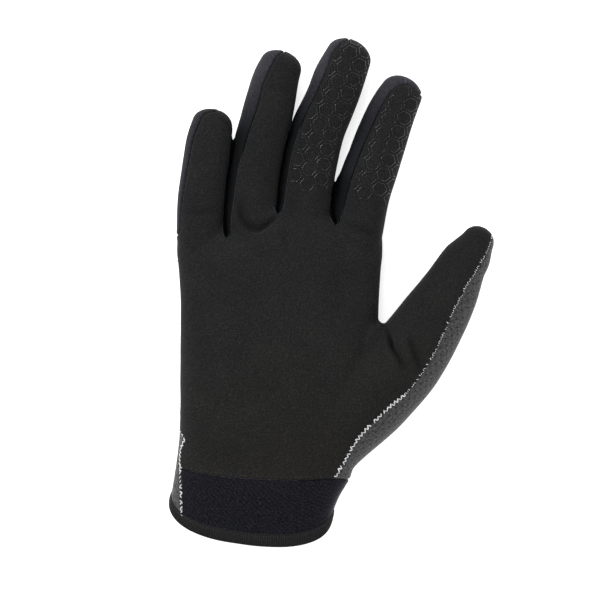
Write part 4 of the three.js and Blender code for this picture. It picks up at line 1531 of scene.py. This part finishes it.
skin.faces.index_update()
loops = bmesh.new()
for run in seam_runs([{PALM, BACK}, {CUFF, BACK}]):
    places = np.array([[*vert.co, *vert[out_layer]] for vert in run])
    if len(places) < SHORTEST_RUN:
        continue
    spots, ways = even_line(places, LOOP_PITCH * MM)
    for number, (spot, way) in enumerate(zip(spots, ways)):
        x, y = spot[0] / MM, spot[1] / MM
        flick = noise.noise(Vector((number * 0.83, y * 0.37, x * 0.41)))
        if flick < LOOP_HIDDEN_UNDER or not wears_yarn(x, y):
            continue
        out = Vector(spot[3:]).normalized()
        along = Vector(way[:3]).normalized()
        across = along.cross(out)
        wobble = noise.noise(Vector(spot[:3]) / MM * 0.9)
        thick = THICK_LOOP if y < FINE_ABOVE_Y or x < 0 else FINE_LOOP
        lean = LOOP_LEAN if number % 2 else -LOOP_LEAN
        slant = along * lean + across * (1 + flick) + out * 0.3 * wobble
        middle = Vector(spot[:3]) + (out * (0.12 + 0.15 * wobble) + across * 0.5 * (wobble + flick)) * MM
        size = thick * (1 + 0.35 * wobble + 0.55 * flick)
        add_stitch(loops, middle, slant, out, LOOP_LENGTH * size, LOOP_WIDTH * size)
silver = thread("silver_yarn", (0.85, 0.86, 0.88), 0.35, 0.3, gloss=0.6)
new_piece("silver_overlock_yarn", loops, silver)

# Pocket seam edges
# Down both sides of the pockets between the fingers the cut edge of the suede shows beside the strip as a
# thin paler line. It fades out where the seam leaves the pocket.
EDGE_RADIUS = 0.19
EDGE_SUNK = 0.6
EDGE_STEP = 0.7
EDGE_REACH = 5.4
EDGE_POINTS = 6
EDGE_TAPER = 0.25
EDGE_UNEVEN = 0.3
edges_shown = bmesh.new()
edges_shown.verts.layers.float.new("turn")


def edge_section(spot, way, out, radius):
    """The section across the cut edge at a point of the seam."""
    out = Vector(out).normalized()
    side = Vector(way).normalized().cross(out)

    def place(turn):
        return Vector(spot) + (side * math.cos(turn) + out * (math.sin(turn) - EDGE_SUNK)) * radius * MM
    return place


for run in seam_runs([{PALM, LITTLE_SIDE + number} for number in range(len(STRIPS))]):
    rows = np.array([[*vert.co, *vert[out_layer], vert[unshaded_layer] * UNSHADED_FROM] for vert in run])
    if len(rows) < EDGE_POINTS:
        continue
    spots, ways = even_line(rows, EDGE_STEP * MM)
    shown = np.concatenate([[False], spots[:, 6] < EDGE_REACH, [False]])
    starts = np.flatnonzero(shown[1:] & ~shown[:-1])
    stops = np.flatnonzero(~shown[1:] & shown[:-1])
    for start, stop in zip(starts, stops):
        if stop - start < EDGE_POINTS:
            continue
        sections = []
        for number in range(start, stop):
            taper = min(1.0, EDGE_TAPER + EDGE_TAPER * min(number - start, stop - 1 - number))
            thicker = 1 + EDGE_UNEVEN * noise.noise(Vector(spots[number, :3]) / MM * 0.7)
            radius = EDGE_RADIUS * taper * thicker
            sections.append(edge_section(spots[number, :3], ways[number, :3], spots[number, 3:6], radius))
        carry_circle(edges_shown, sections, sides=6)
bmesh.ops.recalc_face_normals(edges_shown, faces=edges_shown.faces)
edge_fibres = thread("suede_edge", (0.042, 0.047, 0.055), 0.85, 0.03)
new_piece("pocket_seam_edges", edges_shown, edge_fibres)

# Grip print
# Clear silicone is printed on the suede of the middle and index fingers in a plain honeycomb of
# separate six-sided rings, which stand a little proud and catch the light.
RING_PITCH = 7.3
RING_SIZE = 6.3
# distance inward from the ring's outer edge and height above the suede
RING_PROFILE = [(0.1, 0.17), (0.32, 0.2), (0.43, -0.15), (0.0, -0.15)]
RING_CUTS = 3
RING_POINTS_MEET = 0.001
LEAST_FACING = 0.3
SEAM_MARGIN = 0.9
COLUMNS = range(-2, 3)
MOST_ROWS = 40
PAST_PRINT = 3
WAY_REACH = 2
# From where to where the print runs along y
PRINTED = {"middle": (51.0, 118.5), "index": (47.0, 96.5)}


def centre_line(name):
    """A finger's centre line over its tip, a millimetre or so between points."""
    rows, ways = finger_line(name)
    line = [tuple(row[:2]) for row in rows]
    line += [tuple(rows[-1, :2] + ways[-1] * step) for step in range(1, 12)]
    return np.array(line)


def ring_middles(name):
    """Where the rings of one finger sit: distance along its centre line and place across it."""
    start, end = PRINTED[name]
    line = centre_line(name)
    length = length_along(line)
    low = np.interp(start, line[:, 1], length)
    high = np.interp(end, line[:, 1], length)
    spots = []
    for column in COLUMNS:
        first = low + RING_PITCH * (0.5 if column % 2 else 0)
        for step in range(MOST_ROWS):
            along = first + step * RING_PITCH
            if along < high + PAST_PRINT:
                spots.append((along, column * RING_PITCH * math.sqrt(3) / 2))
    return line, length, spots


def along_finger(line, length, along, across):
    """The place in plan at a distance along a finger and across it."""
    x = np.interp(along, length, line[:, 0])
    y = np.interp(along, length, line[:, 1])
    ends = (along - WAY_REACH, along + WAY_REACH)
    ahead_x = np.diff(np.interp(ends, length, line[:, 0]))[0]
    ahead_y = np.diff(np.interp(ends, length, line[:, 1]))[0]
    size = math.hypot(ahead_x, ahead_y)
    return x + ahead_y / size * across, y - ahead_x / size * across


def flat_ring():
    """One six-sided ring lying flat: a raised line with a closed section, round the origin."""
    ring = bmesh.new()
    corner = RING_SIZE / math.sqrt(3)
    bmesh.ops.create_circle(ring, segments=6, radius=corner)
    sixth = Matrix.Rotation(math.radians(30), 3, "Z")
    bmesh.ops.rotate(ring, verts=ring.verts, cent=(0, 0, 0), matrix=sixth)
    bmesh.ops.subdivide_edges(ring, edges=ring.edges, cuts=RING_CUTS)
    first = list(ring.verts)
    edges = list(ring.edges)
    done = 0.0
    for inset, height in RING_PROFILE:
        fresh, edges = carried_on(ring, edges)
        size = (RING_SIZE / 2 - inset) / (RING_SIZE / 2 - done)
        bmesh.ops.scale(ring, verts=fresh, vec=(size, size, 1))
        for vert in fresh:
            vert.co.z = height
        done = inset
    for vert in first:
        vert.co.z = RING_PROFILE[-1][1]
    bmesh.ops.remove_doubles(ring, verts=ring.verts, dist=RING_POINTS_MEET)
    bmesh.ops.recalc_face_normals(ring, faces=ring.faces)
    return ring


ring_mesh = mesh_from("ring", flat_ring())
grip = bmesh.new()
for name in PRINTED:
    line, length, spots = ring_middles(name)
    finger_y = FINGER_LINES[name][0][:, 1]
    halves = FINGER_LINES[name][1]
    for along, across in spots:
        ring = bmesh.new()
        ring.from_mesh(ring_mesh)
        off_cloth = []
        for vert in ring.verts:
            x, y = along_finger(line, length, along + vert.co.y, across + vert.co.x)
            spot, normal = onto(palm_tree, x, y)
            inside = inside_by(palm_outline, np.array([[x, y]]))[0]
            beyond = abs(across + vert.co.x) > np.interp(y, finger_y, halves)
            if spot is None or normal.z < LEAST_FACING or inside < SEAM_MARGIN or beyond:
                off_cloth.append(vert)
            else:
                vert.co = spot + normal * vert.co.z * MM
        bmesh.ops.delete(ring, geom=off_cloth, context="VERTS")
        edges = [edge for edge in ring.edges if edge.is_boundary]
        bmesh.ops.holes_fill(ring, edges=edges, sides=8)
        placed = mesh_from("ring_placed", ring)
        grip.from_mesh(placed)
        bpy.data.meshes.remove(placed)
bpy.data.meshes.remove(ring_mesh)
silicone = plain_material("clear_silicone", {"Roughness": 0.17, "IOR": 1.45})
haze = grain(silicone, 700)
film = add_ramp(silicone, haze, (0.35, (0.0080, 0.0080, 0.0080)), (0.65, (0.0180, 0.0180, 0.0178)))
finish_cloth(silicone, film, haze, 0.35, 0.0003)
new_piece("silicone_grip_rings", grip, silicone)

# Floor
# The glove lies on a white light table. It glows faintly from within, so that the narrow gaps between
# the fingers stay white.
FLOOR_HALF_SIZE = 3.0
FLOOR_BELOW = 0.0001
floor_shape = bmesh.new()
bmesh.ops.create_grid(floor_shape, x_segments=2, y_segments=2, size=FLOOR_HALF_SIZE)
floor = add_object("floor", mesh_from("floor", floor_shape))
floor.location.z = -FLOOR_BELOW
floor.data.materials.append(plain_material("floor_paint", {
    "Base Color": (0.93, 0.93, 0.93, 1), "Roughness": 0.9,
    "Emission Color": (1, 1, 1, 1), "Emission Strength": 0.72,
}))

# Light
# A pale even room, with a weak softbox high above, the strongest one to the upper left and a third to
# the lower right. All three are square and shine on the middle of the glove.
world = bpy.data.worlds.new("studio")
bpy.context.scene.world = world
world.use_nodes = True
world.node_tree.nodes["Background"].inputs["Color"].default_value = (1, 1, 1, 1)
world.node_tree.nodes["Background"].inputs["Strength"].default_value = 0.42


def softbox(name, place, size, power):
    """A square area light that shines on the middle of the glove."""
    data = bpy.data.lights.new(name, "AREA")
    data.size = size
    data.energy = power
    light = add_object(name, data)
    light.location = place
    light.rotation_euler = (-Vector(place)).to_track_quat("-Z", "Y").to_euler()


softbox("overhead", (-0.25, 0.3, 2.0), 0.5, 7)
softbox("key", (-1.0, 0.8, 0.75), 0.6, 17)
softbox("fill", (1.2, -0.3, 0.7), 0.7, 9)

# Camera
# It looks straight down from far above, as in the photograph, with a long lens that keeps the glove at
# one scale all over. The scale is that of the photograph at the height where the glove is widest.
PHOTO_SIZE = 600
PIXEL = 0.4724 * MM
VIEW_MIDDLE = (-15.1 * MM, -3.4 * MM)
WIDEST_HEIGHT = 12 * MM
LENS = 600
CLIP_END = 10
camera_data = bpy.data.cameras.new("camera")
camera_data.lens = LENS
camera_data.clip_end = CLIP_END
camera = add_object("camera", camera_data)
distance = PHOTO_SIZE * PIXEL / camera_data.sensor_width * camera_data.lens
camera.location = (*VIEW_MIDDLE, WIDEST_HEIGHT + distance)
bpy.context.scene.camera = camera
bpy.context.scene.view_settings.view_transform = "Standard"
